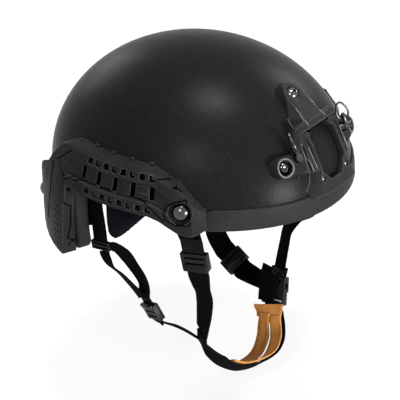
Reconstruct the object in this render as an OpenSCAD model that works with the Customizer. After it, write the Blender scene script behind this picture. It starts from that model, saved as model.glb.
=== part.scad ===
// High-cut combat helmet: shell, edge trim, side rails, front shroud, pads and four-point harness.
// Frame: +Z up, the front faces -Y, the wearer's left is +X. The origin lies on the mid-plane,
// at the centre of the plan and at the height of the front brim's lower edge.

/* [Shell] */
// Outer half width of the shell at the brim
half_w = 122; // [112:1:130]
// Outer half length of the shell at the brim
half_l = 137.5; // [127:0.5:146]
// Height of the crown above the front brim
crown_h = 115; // [106:1:122]
// Depth of the nape below the front brim
nape_depth = 58; // [50:1:64]
// Height of the ear cut above the front brim
ear_rise = 10.5; // [6:0.5:13]
// Wall thickness of the shell
wall = 8; // [7:0.25:9]
// How far the skirt draws in at the nape
rim_tuck = 5; // [2:0.5:7]

/* [Edge trim] */
// Thickness of the rubber trim
trim_t = 2; // [1.5:0.25:2.5]
// Height of the trim's outer flank along the brow
trim_front_h = 17; // [12:1:19]
// Height of the trim's outer flank round the ears and nape
trim_ear_h = 9.5; // [8:0.5:10.5]
// Height of the trim's inner flank
trim_in_h = 8; // [6:0.5:9]

/* [Side rails] */
// Height of the rail's top deck
rail_top = 50; // [46:1:53]
// Distance from the shell to the rail's outer face
rail_out = 12.5; // [11.5:0.5:14]
// Wall thickness of the rail
rail_wall = 3; // [2.5:0.25:3.5]
// Number of tall slots in each rail
slot_n = 5; // [3:1:5]
// Pitch of the tall slots
slot_pitch = 17.5; // [16:0.5:18]
// Number of small square holes in each of the two rows
hole_n = 8; // [4:1:8]
// Pitch of the small square holes
hole_pitch = 8.8; // [8:0.2:9]
// Diameter of the rail and shroud bolts' shanks
bolt_d = 5; // [4:0.5:6]
// Diameter of the rail bolts' domed heads
bolt_head_d = 15; // [13:0.5:16]

/* [Shroud] */
// Lean of the mounting plane from the vertical
shroud_lean = 27; // [24:1:30]
// Width of the opening between the side frames
recess_w = 36; // [32:1:39]
// Height of the side frames above the mounting plane
frame_rise = 2; // [1:0.5:4]
// Diameter of the shroud bolts' domed heads
ear_bolt_d = 11; // [10:0.5:12]

/* [Pads] */
// Thickness of the comfort pads
pad_t = 19; // [14:1:22]
// Thickness of the hook discs behind the pads
disc_t = 2.6; // [2:0.2:3]

/* [Harness] */
// Width of the webbing
web_w = 20; // [18:1:22]
// Thickness of the webbing
web_t = 1.8; // [1.4:0.1:2.2]
// Thickness of the leather lining
leather_t = 1.8; // [1.2:0.1:2.2]
// Clearance between pieces that slide or fit together
fit = 0.4; // [0.3:0.05:0.6]

/* [Hidden] */

clear = 0.6;
disc_gap = 0.85;
mm_per_deg = 2.36;
shell_rim_front = trim_t;
trim_gap = 0.25;

function ease(t) = let(u = min(1, max(0, t))) u * u * (3 - 2 * u);
function ramp(v, v0, v1) = ease((v - v0) / (v1 - v0));
function mix(a, b, t) = a + (b - a) * t;
function unit(v) = v / norm(v);

// Shell skin: a is the plan angle from the front towards the wearer's right, o the offset outwards
function lat(z, h) = z > 0 ? sqrt(max(0, 1 - pow(z / h, 2))) : 1 - rim_tuck * pow(z / nape_depth, 2) / half_w;
function skin(a, z, o = 0) =
    let(k = lat(z, crown_h + o))
    [-(half_w + o) * k * sin(a), -(half_l + o) * k * cos(a), z];
// Plan angle at which the offset skin passes a given y at height z
function angle_at(y, z, o = 0) = acos(max(-1, min(1, -y / ((half_l + o) * lat(z, crown_h + o)))));
// Outward normal of the skin, and the direction down the skin
function skin_out(a, z) =
    let(p = skin(a, z), rise = z > 0 ? z / pow(crown_h, 2) : 2 * rim_tuck * z / (half_w * pow(nape_depth, 2)))
    unit([p[0] / pow(half_w, 2), p[1] / pow(half_l, 2), rise]);
function skin_down(a, z) = let(n = skin_out(a, z)) unit([n[0] * n[2], n[1] * n[2], n[2] * n[2] - 1]);
// Point at a distance down the skin from a bolt and at a depth under its tangent plane
function below(bolt, down, depth) =
    skin(bolt[0], bolt[1]) + skin_down(bolt[0], bolt[1]) * down - skin_out(bolt[0], bolt[1]) * depth;
// Direction on the skin turned by t from straight up
function skin_turn(a, z, t) =
    let(up = -skin_down(a, z)) up * cos(t) + cross(up, skin_out(a, z)) * sin(t);

// Solid through rings with equal point counts
module loft(rings, closed = false, flip = false) {
    n = len(rings);
    m = len(rings[0]);
    sides = [
        for (i = [0 : n - (closed ? 1 : 2)], j = [0 : m - 1])
        let(p = i * m + j, q = i * m + (j + 1) % m, r = ((i + 1) % n) * m + (j + 1) % m, s = ((i + 1) % n) * m + j)
        each flip ? [[p, r, q], [p, s, r]] : [[p, q, r], [p, r, s]]
    ];
    caps = closed ? [] : [
        [for (j = [0 : m - 1]) flip ? j : m - 1 - j],
        [for (j = [0 : m - 1]) (n - 1) * m + (flip ? m - 1 - j : j)]
    ];
    polyhedron([for (r = rings) each r], concat(sides, caps), convexity = 12);
}

// Rim of the shell as plan angle and height, from the brow over the ear to the nape
ear_z = ear_rise + trim_t;
nape_z = -(nape_depth - trim_t);
ear_back = 111.4;
ear_r = 3.2;
corner_r = 5;
function rim_half() = concat(
    [for (a = [0 : 7.5 : 60]) [a, shell_rim_front]],
    [for (a = [63 : 3 : 75]) [a, mix(shell_rim_front, ear_z, ramp(a, 60, 76))]],
    [for (a = [82 : 8 : 98]) [a, ear_z]],
    [for (t = [0 : 22.5 : 67.5]) [ear_back - ear_r * (1 - sin(t)), ear_z - ear_r * mm_per_deg * (1 - cos(t))]],
    [for (z = [0 : -11 : -40]) [ear_back + 0.9 * (8 - z) / 50, z]],
    [for (t = [8 : 20 : 90]) [ear_back + 0.8 + corner_r * (1 - cos(t)), nape_z + corner_r * mm_per_deg * (1 - sin(t))]],
    [for (a = [123 : 7.125 : 180]) [a, nape_z]]
);
rim_right = rim_half();
rim_n = len(rim_right);
rim = concat(rim_right, [for (i = [rim_n - 2 : -1 : 1]) [360 - rim_right[i][0], rim_right[i][1]]]);

// Latitude in degrees for a height, running straight on below the widest level
function lat_deg(z, h) = z > 0 ? asin(z / h) : z / h * 180 / PI;
function lat_z(u, h) = u > 0 ? h * sin(u) : u * h * PI / 180;
shell_rings = 11;
function shell_column(p, o) =
    let(h = crown_h + o, u0 = lat_deg(p[1], h))
    [for (i = [0 : shell_rings - 1]) skin(p[0], lat_z(mix(u0, 90, i / shell_rings), h), o)];

module shell_body() {
    n = len(rim);
    m = shell_rings;
    outer = [for (p = rim) each shell_column(p, 0)];
    inner = [for (p = rim) each shell_column(p, -wall)];
    tops = [[0, 0, crown_h], [0, 0, crown_h - wall]];
    base = n * m;
    faces = [
        for (i = [0 : n - 1])
        let(k = (i + 1) % n)
        each concat(
            [for (j = [0 : m - 2]) each [
                [i * m + j, k * m + j, k * m + j + 1],
                [i * m + j, k * m + j + 1, i * m + j + 1],
                [base + i * m + j, base + k * m + j + 1, base + k * m + j],
                [base + i * m + j, base + i * m + j + 1, base + k * m + j + 1]
            ]],
            [
                [i * m + m - 1, k * m + m - 1, 2 * base],
                [base + i * m + m - 1, 2 * base + 1, base + k * m + m - 1],
                [i * m, base + k * m, k * m],
                [i * m, base + i * m, base + k * m]
            ]
        )
    ];
    polyhedron(concat(outer, inner, tops), faces, convexity = 6);
}

// Places its children on the skin with +Z along the outward normal
module on_skin(a, z, o = 0) {
    p = skin(a, z, o);
    d = 0.5;
    n = unit(cross(skin(a, z + d, o) - skin(a, z - d, o), skin(a + d, z, o) - skin(a - d, z, o)));
    yaw = atan2(n[1], n[0]);
    translate(p) rotate([0, 0, yaw]) rotate([0, acos(n[2]), 0]) children();
}

front_bolt = [64.6, 18.2];
rear_bolt = [142, -26];
rail_bolt_places = [front_bolt, rear_bolt];
module mirror_pair() {
    children();
    mirror([1, 0, 0]) children();
}

// Point in front of the shell at x across, at a latitude and a distance forward
function front_skin(x, latitude, off) =
    [x, -half_l * sqrt(pow(cos(latitude), 2) - pow(x / half_w, 2)) - off, crown_h * sin(latitude)];
// Shroud frame of reference: X across, Y up the mounting plane, Z out of it
shroud_at = front_skin(0, 37.6, 8.5);
module at_shroud() {
    translate(shroud_at) rotate([90 - shroud_lean, 0, 0]) children();
}
ear_bolt_u = 49.5;
ear_bolt_v = -19;
screw_u = 17.8;
screw_v = -43.3;
screw_d = 3;
screw_head_d = 5;
screw_sink = 1.7;

module shroud_bolt_places() {
    translate(front_skin(0, 52.3, 8.9)) rotate([38, 0, 0]) children();
    for (s = [-1, 1])
        translate(front_skin(s * ear_bolt_u, 24.9, 5.5)) rotate([0, 0, s * 28]) rotate([68, 0, 0]) children();
}

module shell() {
    color("#26262a")
    difference() {
        shell_body();
        mirror_pair() for (p = rail_bolt_places)
            on_skin(p[0], p[1]) translate([0, 0, -25]) cylinder(d = bolt_d + 2 * fit, h = 50, $fn = 24);
        shroud_bolt_places() translate([0, 0, -40]) cylinder(d = bolt_d - 1 + 2 * fit, h = 60, $fn = 24);
    }
}

// Edge trim: a channel swept along the rim
function trim_flank(p) = mix(trim_front_h, trim_ear_h, ramp(p[0] > 180 ? 360 - p[0] : p[0], 55, 60));
function rim_dir(i) =
    let(n = len(rim), p = rim[(i + n - 1) % n], q = rim[(i + 1) % n], da = q[0] - p[0])
    let(turn = da < -180 ? da + 360 : da > 180 ? da - 360 : da)
    unit([-(q[1] - p[1]), turn * mm_per_deg]);
function trim_point(i, h, o) =
    let(d = rim_dir(i), p = rim[i])
    skin(p[0] + d[0] * h / mm_per_deg, p[1] + d[1] * h, o);
function trim_ring(i) =
    let(f = trim_flank(rim[i]), w = wall + 0.75, t = trim_t)
    [for (s = [
        [f, trim_gap], [f, t - 0.5], [f - 1, t], [f / 2, t], [0.5, t], [-t + 0.6, t - 0.9], [-t, 0.5], [-t, -w + 1],
        [-t + 0.6, -w - t + 0.9], [0.5, -w - t], [trim_in_h - 1, -w - t], [trim_in_h, -w - t + 0.5], [trim_in_h, -w],
        [-trim_gap, -w], [-trim_gap, trim_gap], [f / 2, trim_gap]
    ]) trim_point(i, s[0], s[1])];

module edge_trim() {
    color("#2b2b2f") loft([for (i = [0 : len(rim) - 1]) trim_ring(i)], closed = true);
}

// Side rail: stations run from the nose along the ear and round to the rear leg
ridge_front = -36;
nose_angle = 56.3;
nose_end = 66;
leg_start = 114;
leg_end = 151;
function rail_z_top(a) =
    a < nose_end ? mix(20, rail_top - 9, (a - nose_angle) / (nose_end - nose_angle))
    : a < 108 ? mix(rail_top - 9, rail_top, ramp(a, nose_end, 77))
    : mix(rail_top, -4, ramp(a, 113, 139)) - 6 * ramp(a, 146, leg_end);
function rail_z_low(a) =
    a < 76 ? mix(-0.5 + 4 * (1 - ramp(a, nose_angle, nose_angle + 4)), ear_rise + 3, ramp(a, 62, 76))
    : a < 110 ? ear_rise + 3
    : mix(ear_rise + 3, -nape_depth - 0.5, ramp(a, 110.2, leg_start + 1)) + 8 * ramp(a, leg_end - 6, leg_end);
function rail_band(a) = ramp(a, 66, 76) * (1 - ramp(a, 108, 113));
leg_out = 9.5;
function rail_face(a) =
    mix(mix(5.5, rail_out, min(1, (a - nose_angle) / 4.5)), leg_out, ramp(a, 112, 138)) - 3 * ramp(a, leg_end - 3, leg_end);
// The leg's outer face stands upright where the skirt draws in
function leg_swell(z) = z < 0 ? rim_tuck * pow(z / nape_depth, 2) : 0;
rail_angles = concat(
    [nose_angle, nose_angle + 2, nose_angle + 4.5, 63, nose_end, 69, 72, 76], [for (a = [82 : 6 : 106]) a],
    [108, 110.5, 112, 113.5, 115, 118], [for (a = [123 : 6 : 147]) a], [149, leg_end]
);
function rail_ring(a) =
    let(b = rail_band(a), f = rail_face(a), zt = rail_z_top(a), zb = rail_z_low(a), h = zt - zb)
    let(zu = zt - 9, zl = zb + 12.5, back = trim_t + clear, c = mix(3, 2, ramp(a, 60, 72)))
    let(seat = mix(back, clear, ramp(a, 60, 63)), deep = mix(back + 0.8, f - rail_wall, ramp(a, 64, 72) * (1 - ramp(a, 105, 110))))
    let(u = mix(zt - h * 0.3, zu, b), l = mix(zb + h * 0.35, zl, b))
    [for (s = [
        [seat, zt], [f - c, zt], [f + 0.5 * b, zt - c], [f + 0.5 * b, u], [f - 1.5 * b, u - 1.5],
        [f - 1.5 * b, l + 1.5], [f - 3 * b, l + 0.8], [f - 3 * b, l - 0.2], [f + 0.5 * b, l - 1.2],
        [f + 0.5 * b, zb + 1], [f - 1, zb], [back, zb], [back, zb + rail_wall],
        [deep, zb + rail_wall], [deep, mix(zb, zt, 0.25)], [deep, mix(zb, zt, 0.5)], [deep - 0.2, mix(zb, zt, 0.75)],
        [deep - 0.5, zt - rail_wall], [seat, zt - rail_wall]
    ]) skin(a, s[1], s[0] + (s[0] > back + 1.5 ? leg_swell(s[1]) : 0))];

slot_mid = -3.5;
hole_mid = -6;
slot_z = 33.5;
slot_size = [5, 12];
hole_size = 5.6;
hole_step = 2.6;
// Seats of the rail bolts' heads above the skin
front_seat = 9.5;
rear_seat = 8.5;
module rail_cut(y, z, w, h) {
    on_skin(angle_at(y, z, rail_out), z, rail_out) cube([h, w, 16], center = true);
}
// Every second small hole keeps a step in its upper front corner
module rail_hole(y, z, stepped) {
    on_skin(angle_at(y, z, rail_out), z, rail_out) difference() {
        cube([hole_size, hole_size, 16], center = true);
        if (stepped) translate([-hole_size / 2 - hole_step, hole_step - hole_size / 2, -9]) cube([hole_size, hole_size, 18]);
    }
}
module rail() {
    difference() {
        loft([for (a = rail_angles) rail_ring(a)]);
        for (i = [0 : slot_n - 1])
            rail_cut(slot_mid + (i - (slot_n - 1) / 2) * slot_pitch, slot_z, slot_size[0], slot_size[1]);
        for (i = [0 : hole_n - 1], z = [rail_top - 5, ear_rise + 9])
            rail_hole(hole_mid + (i - (hole_n - 1) / 2) * hole_pitch, z, (i % 2) == 0);
        for (p = rail_bolt_places)
            on_skin(p[0], p[1]) translate([0, 0, -5]) cylinder(d = bolt_d + 2 * fit, h = 40, $fn = 24);
        on_skin(front_bolt[0], front_bolt[1]) translate([0, 0, front_seat]) cylinder(d = bolt_head_d + 5, h = 12, $fn = 32);
        on_skin(rear_bolt[0], rear_bolt[1]) translate([0, 0, rear_seat]) cylinder(d = bolt_head_d + 3, h = 12, $fn = 32);
    }
}
module rail_right() { color("#38373a") rail(); }
module rail_left() { color("#38373a") mirror([1, 0, 0]) rail(); }

// Domed bolt with its head's seat at z = 0 and its shank running down
module dome_bolt(head_d, shank, d) {
    r = head_d / 2;
    rise = r * 0.62;
    sphere_r = (r * r + rise * rise) / (2 * rise);
    intersection() {
        translate([0, 0, rise - sphere_r]) sphere(r = sphere_r, $fn = 32);
        cylinder(r = r, h = rise + 1, $fn = 32);
    }
    translate([0, 0, -shank]) cylinder(d = d, h = shank + 0.5, $fn = 24);
}
module hex_nut(d, across, h) {
    difference() {
        cylinder(d = across / cos(30), h = h, $fn = 6);
        translate([0, 0, -1]) cylinder(d = d, h = h + 2, $fn = 24);
    }
}
nut_h = 3;
anchor_t = 1.6;
// Depths of the anchors' outer faces below the skin, clear of the trim in front and of the wall behind
front_anchor = 13;
rear_anchor = 12;
module rail_bolts() {
    color("#8d8f94") mirror_pair() {
        on_skin(front_bolt[0], front_bolt[1]) translate([0, 0, front_seat])
            dome_bolt(bolt_head_d, front_seat + front_anchor + anchor_t + nut_h + 1, bolt_d);
        on_skin(rear_bolt[0], rear_bolt[1]) translate([0, 0, rear_seat])
            dome_bolt(bolt_head_d - 1, rear_seat + rear_anchor + anchor_t + nut_h + 1, bolt_d);
    }
}
module under_bolts(depth_front, depth_rear) {
    on_skin(front_bolt[0], front_bolt[1]) translate([0, 0, -depth_front]) children();
    on_skin(rear_bolt[0], rear_bolt[1]) translate([0, 0, -depth_rear]) rotate([0, 0, 180]) children();
}
module rail_nuts() {
    drop = anchor_t + nut_h + 0.05;
    color("#9a9ca0") mirror_pair() under_bolts(front_anchor + drop, rear_anchor + drop) hex_nut(bolt_d + 0.04, 9, nut_h);
}

// Strap anchors: a steel tab over each nut with a slot for the webbing, down in front and up behind
anchor_slot = [13, 18];
anchor_end = 21.5;
module anchor() {
    difference() {
        hull() {
            cylinder(d = 15, h = anchor_t, $fn = 32);
            translate([anchor_end - 4, -13, 0]) cube([4, 26, anchor_t]);
        }
        translate([0, 0, -1]) cylinder(d = bolt_d + 2 * fit, h = 4, $fn = 24);
        translate([anchor_slot[0], -web_w / 2 - fit, -1]) cube([anchor_slot[1] - anchor_slot[0], web_w + 2 * fit, 4]);
    }
}
module strap_anchors() {
    color("#2f2f33") mirror_pair() under_bolts(front_anchor + anchor_t, rear_anchor + anchor_t) anchor();
}

// Shroud: outline up the mounting plane, half of it from the top down
shroud_half = [
    [0, 40], [5, 38.5], [9, 34], [12.5, 26], [18, 14], [27, 9], [30, 4], [34, -6], [37, -20], [38, -34],
    [34, -46], [31, -55], [13, -57]
];
// The opening between the frames shows the shell behind
opening_top = -2.5;
function opening_half() = let(w = recess_w / 2) [[0, opening_top], [w - 4.5, opening_top], [w, opening_top - 6], [w, -36], [8, -48]];
flank_u = 27.5;
flank_tilt = 43;
function both_sides(h) = concat(h, [for (i = [len(h) - 1 : -1 : 0]) if (h[i][0] > 0) [-h[i][0], h[i][1]]]);
// The shell's outside, swelled by a clearance, to seat pieces on it
module shell_core(o) {
    n = 60;
    m = 12;
    rings = [for (j = [0 : m - 1], i = [0 : n - 1]) skin(i * 360 / n, (crown_h + o) * sin(j * 90 / m), o)];
    top = n * m;
    faces = [
        for (i = [0 : n - 1])
        let(k = (i + 1) % n)
        each concat(
            [for (j = [0 : m - 2]) each [
                [j * n + i, (j + 1) * n + k, (j + 1) * n + i],
                [j * n + i, j * n + k, (j + 1) * n + k]
            ]],
            [[(m - 1) * n + i, (m - 1) * n + k, top], [i, top + 1, k]]
        )
    ];
    polyhedron(concat(rings, [[0, 0, crown_h + o], [0, 0, 0]]), faces, convexity = 4);
}
module shroud_plate() {
    difference() {
        union() {
            // Plate, falling back to the upper bolt above the fold
            intersection() {
                translate([0, 0, -40]) linear_extrude(60) polygon(both_sides(shroud_half));
                union() {
                    translate([0, 4, 0]) rotate([-24, 0, 0]) translate([-60, -4, -40]) cube([120, 60, 40]);
                    translate([-60, -60, -40]) cube([120, 65, 40]);
                }
            }
            // Side frames standing proud of the plane
            for (s = [-1, 1]) hull() {
                translate([s * (recess_w / 2 + 1), -8, 0]) cube([2, 12, 0.4], center = true);
                translate([s * (recess_w / 2 + 3), -24, frame_rise - 0.5]) cube([6, 22, 1], center = true);
                translate([s * (recess_w / 2 + 4.5), -24, 0]) cube([9, 38, 0.4], center = true);
            }
        }
        // Bevels that slope the flanks away from the frames and from the middle of the plate
        for (s = [-1, 1]) {
            translate([s * flank_u, -30, 0]) rotate([0, s * flank_tilt, 0]) translate([-20, -34, 0.2]) cube([40, 82, 20]);
            translate([s * 23, -53, 0]) rotate([0, 0, s * 14]) rotate([0, s * flank_tilt, 0]) translate([-20, -20, 0.2]) cube([40, 38, 20]);
            translate([s * 11.5, 4, 0]) rotate([-24, 0, 0]) rotate([0, s * 38, 0]) translate([s > 0 ? 0 : -30, 3, -0.5]) cube([30, 60, 20]);
        }
        translate([0, 0, -40]) linear_extrude(60) polygon(both_sides(opening_half()));
        // Notches at the ends of the plate's lower edge
        for (s = [-1, 1]) translate([s * 14.5, opening_top + 0.5, 0]) rotate([0, 0, s * 20]) cube([5, 2.6, 6], center = true);
        // Long slots down the outside of the frames
        for (s = [-1, 1]) translate([s * (flank_u + 1), -22, 0]) rotate([0, 0, s * 3]) cube([2, 24, 5], center = true);
    }
}
module shroud_frame() {
    color("#3a393c") difference() {
        at_shroud() {
            shroud_plate();
            // Round ears for the lower bolts
            for (s = [-1, 1]) hull() {
                translate([s * ear_bolt_u, ear_bolt_v, -40]) cylinder(d = 18, h = 31, $fn = 32);
                translate([s * 31, ear_bolt_v - 3, -40]) cylinder(d = 18, h = 37, $fn = 32);
            }
        }
        shell_core(clear);
        edge_guard();
        at_shroud() for (s = [-1, 1]) translate([s * screw_u, screw_v, 0]) {
            translate([0, 0, -30]) cylinder(d = screw_d, h = 60, $fn = 24);
            translate([0, 0, -screw_sink]) cylinder(d = screw_head_d + 0.8, h = 10, $fn = 24);
        }
        mirror_pair() at_hook() {
            translate([0, 0, -hook_pin_in]) cylinder(d = hook_pin_d + 0.04, h = 30, $fn = 24);
            translate([0, 0, 0.1 - hook_off]) cylinder(d = 9, h = 20, $fn = 24);
        }
        shroud_bolt_places() translate([0, 0, -10]) cylinder(d = bolt_d - 1 + 2 * fit, h = 40, $fn = 24);
        shroud_bolt_places() cylinder(d = ear_bolt_d + 2, h = 20, $fn = 32);
    }
}
// Space kept by the trim's brow flank
module edge_guard() {
    intersection() {
        shell_core(trim_t + clear);
        translate([-200, -200, -10]) cube([400, 400, trim_front_h + trim_t + clear + 10]);
    }
}
module shroud_bolts() {
    color("#8d8f94") shroud_bolt_places() dome_bolt(ear_bolt_d, 22, bolt_d - 1);
}
module shroud_nuts() {
    color("#9a9ca0") shroud_bolt_places() translate([0, 0, -21]) hex_nut(bolt_d - 1 + 0.04, 7, 2.4);
}
module shroud_screws() {
    color("#b9bbbf") at_shroud() for (s = [-1, 1]) translate([s * screw_u, screw_v, -screw_sink]) dome_bolt(screw_head_d, 3.6, screw_d - 0.04);
}

// Lanyard hooks: a wire loop on a ringed shank, turning on a pin beside the shroud
hook_wire = 1.6;
function ring_at(p, t, r, n) =
    let(x = unit(cross(t, abs(t[2]) < 0.9 ? [0, 0, 1] : [1, 0, 0])), y = cross(t, x))
    [for (i = [0 : n - 1]) p + r * (x * cos(360 * i / n) + y * sin(360 * i / n))];
module wire(points, d, sides = 8) {
    n = len(points);
    loft([for (i = [0 : n - 1])
        let(a = points[max(0, i - 1)], b = points[min(n - 1, i + 1)])
        ring_at(points[i], unit(b - a), d / 2, sides)], flip = true);
}
hook_loop = 8;
hook_loop_w = 5;
hook_ferrule = 5;
hook_pin_d = 3;
hook_ring_d = 7;
hook_ring_h = 4.4;
module hook_local() {
    loop = [for (t = [-157.5 : 22.5 : 157.5])
        [0, hook_ferrule + 1 + hook_loop + hook_loop * cos(t), hook_loop_w * sin(t)]];
    wire(loop, hook_wire, 6);
    difference() {
        union() {
            cylinder(d = hook_ring_d, h = hook_ring_h, center = true, $fn = 24);
            translate([0, 1, 0]) rotate([-90, 0, 0]) cylinder(d = 4.2, h = hook_ferrule + 2, $fn = 24);
        }
        cylinder(d = hook_pin_d + 0.1, h = 12, center = true, $fn = 24);
    }
}
// Puts its children at p with X and Y along the given directions
module place(p, x, y) {
    z = unit(cross(x, y));
    w = unit(y);
    u = cross(w, z);
    multmatrix([
        [u[0], w[0], z[0], p[0]], [u[1], w[1], z[1], p[1]], [u[2], w[2], z[2], p[2]], [0, 0, 0, 1]
    ]) children();
}
// The pin stands out of the frame's flank, and the loop points up along it
hook_off = 6.4;
hook_u = 33.5;
hook_at = [hook_u, -16.5, -tan(flank_tilt) * (hook_u - flank_u)];
// Rest angles of the hooks about their pins
hook_turn_right = -3;
hook_turn_left = 14;
module at_hook(turn = 0) {
    at_shroud() translate(hook_at) rotate([0, flank_tilt, 0]) translate([0, 0, hook_off]) rotate([0, 0, turn]) children();
}
module lanyard_hook_left() { color("#5a5b60") at_hook(hook_turn_left) hook_local(); }
module lanyard_hook_right() { color("#5a5b60") mirror([1, 0, 0]) at_hook(hook_turn_right) hook_local(); }
hook_pin_in = 9.2;
module lanyard_pin_local() {
    translate([0, 0, -hook_pin_in]) cylinder(d = hook_pin_d, h = hook_pin_in + 3, $fn = 24);
    translate([0, 0, 2.8]) cylinder(d = 5.5, h = 1.4, $fn = 24);
    translate([0, 0, 0.1 - hook_off]) cylinder(d = 5.5, h = hook_off - 2.9, $fn = 24);
}
module lanyard_pin_left() { color("#6a6b70") at_hook() lanyard_pin_local(); }
module lanyard_pin_right() { color("#6a6b70") mirror([1, 0, 0]) at_hook() lanyard_pin_local(); }

// Pads: a rounded outline on the inner skin, crowned towards the head
function soften(c, r) = [
    for (i = [0 : len(c) - 1])
    let(p = c[(i + len(c) - 1) % len(c)], q = c[i], s = c[(i + 1) % len(c)])
    let(a = q + unit(p - q) * min(r, norm(p - q) / 2.1), b = q + unit(s - q) * min(r, norm(s - q) / 2.1))
    for (t = [0 : 1 / 3 : 1]) a * pow(1 - t, 2) + q * 2 * t * (1 - t) + b * t * t
];
function refine(c, step) = [
    for (i = [0 : len(c) - 1])
    let(q = c[i], s = c[(i + 1) % len(c)], n = max(1, floor(norm(s - q) / step)))
    for (k = [0 : n - 1]) q + (s - q) * k / n
];
function middle(c) = [for (k = [0, 1]) (max([for (p = c) p[k]]) + min([for (p = c) p[k]])) / 2];
pad_levels = [[0.45, 0], [0.93, 0], [1, 0.22], [1, 0.66], [0.93, 0.88], [0.75, 0.97], [0.4, 1.02]];
module pad_solid(outline, levels, map) {
    mid = middle(outline);
    m = len(outline);
    n = len(levels);
    pts = [for (l = levels) each [for (p = outline) map(mid + (p - mid) * l[0], l[1])]];
    ends = [map(mid, levels[0][1]), map(mid, levels[n - 1][1])];
    faces = concat(
        [for (i = [0 : n - 2], j = [0 : m - 1]) let(k = (j + 1) % m) each [
            [i * m + j, (i + 1) * m + k, i * m + k], [i * m + j, (i + 1) * m + j, (i + 1) * m + k]
        ]],
        [for (j = [0 : m - 1]) [n * m, j, (j + 1) % m]],
        [for (j = [0 : m - 1]) [n * m + 1, (n - 1) * m + (j + 1) % m, (n - 1) * m + j]]
    );
    polyhedron(concat(pts, ends), faces, convexity = 4);
}
pad_back = wall + disc_gap + disc_t + 0.3;
// Outline points are arc length from the plan angle a0 and height
module wall_pad(a0, corners, r = 14, t = pad_t) {
    pad_solid(refine(soften(corners, r), 13), pad_levels,
        function(p, d) skin(a0 + p[0] / mm_per_deg, p[1], -pad_back - d * t));
}
function rect(w, h, z) = [[-w / 2, z - h / 2], [w / 2, z - h / 2], [w / 2, z + h / 2], [-w / 2, z + h / 2]];

side_corners = [[-33, 8], [22, -42], [28, -38], [28, 47], [-33, 47]];
side_pad_angle = 90;
module side_pad_right() { color("#24252e") wall_pad(side_pad_angle, side_corners, 9); }
module side_pad_left() { color("#24252e") mirror([1, 0, 0]) wall_pad(side_pad_angle, side_corners, 9); }
temple_angle = 50;
temple_pad_w = 46;
temple_pad_z = 48;
module temple_pad() { wall_pad(temple_angle, rect(temple_pad_w, temple_pad_w, temple_pad_z)); }
module temple_pad_right() { color("#24252e") temple_pad(); }
module temple_pad_left() { color("#24252e") mirror([1, 0, 0]) temple_pad(); }
nape_pad_angle = 124.5;
nape_pad_w = 52;
nape_pad_h = 54;
nape_pad_z = -15;
module nape_pad() { wall_pad(nape_pad_angle, rect(nape_pad_w, nape_pad_h, nape_pad_z), 8); }
module nape_pad_right() { color("#2a2b30") nape_pad(); }
module nape_pad_left() { color("#2a2b30") mirror([1, 0, 0]) nape_pad(); }
long_pad_w = 96;
front_pad_h = 44;
front_pad_z = 42;
rear_pad_h = 56;
module front_pad() { color("#24252e") wall_pad(0, rect(long_pad_w, front_pad_h, front_pad_z)); }
module rear_pad() { color("#24252e") wall_pad(180, rect(long_pad_w, rear_pad_h, 0)); }
crown_pad_r = 52;
function under_crown(p, o) =
    let(q = [p[0] / (half_w - o), p[1] / (half_l - o)])
    [p[0], p[1], (crown_h - o) * sqrt(1 - q * q)];
module crown_pad() {
    outline = [for (i = [0 : 23]) crown_pad_r * [cos(15 * i), -sin(15 * i)]];
    color("#24252e") pad_solid(outline, pad_levels, function(p, d) under_crown(p, pad_back + d * pad_t));
}

// Hook discs glued inside the shell behind the pads
disc_levels = [[1, 0], [1, 1]];
disc_r = 12;
module hook_disc(a, z) {
    outline = [for (i = [0 : 11]) disc_r * [cos(30 * i), sin(30 * i)]];
    pad_solid([for (p = outline) [p[0], p[1] + z]], disc_levels,
        function(p, d) skin(a + p[0] / mm_per_deg, p[1], -wall - disc_gap - d * disc_t));
}
module hook_discs() {
    color("#1b1b1e") {
        mirror_pair() for (p = [[83, 35], [96, 35], [temple_angle, 50], [nape_pad_angle, -8]]) hook_disc(p[0], p[1]);
        mirror_pair() for (p = [[9, 44], [171, 10]]) hook_disc(p[0], p[1]);
        outline = [for (i = [0 : 15]) 24 * [cos(22.5 * i), -sin(22.5 * i)]];
        pad_solid(outline, [[0.5, 0], [1, 0], [1, 1], [0.5, 1]], function(p, d) under_crown(p, wall + disc_gap + d * disc_t));
    }
}

// Webbing: a flat band through stations of point, width direction and width
function hermite(a, b, c, d, t) =
    0.5 * (2 * b + (c - a) * t + (2 * a - 5 * b + 4 * c - d) * t * t + (3 * b - a - 3 * c + d) * t * t * t);
function smooth_route(s, steps) = [
    for (i = [0 : len(s) - 2], k = [0 : steps - (i == len(s) - 2 ? 0 : 1)])
    let(a = s[max(0, i - 1)], b = s[i], c = s[i + 1], d = s[min(len(s) - 1, i + 2)], t = k / steps)
    [hermite(a[0], b[0], c[0], d[0], t), unit(mix(b[1], c[1], t)), mix(b[2], c[2], t)]
];
module band(stations, t, steps = 3, lift = 0) {
    s = smooth_route(stations, steps);
    n = len(s);
    loft([for (i = [0 : n - 1])
        let(along = unit(s[min(n - 1, i + 1)][0] - s[max(0, i - 1)][0]))
        let(face = unit(cross(along, s[i][1])), w = cross(face, along) * s[i][2] / 2, up = face * t / 2)
        let(p = s[i][0] + face * lift)
        [p - w - up, p + w - up, p + w + up, p - w + up]], flip = true);
}
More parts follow.
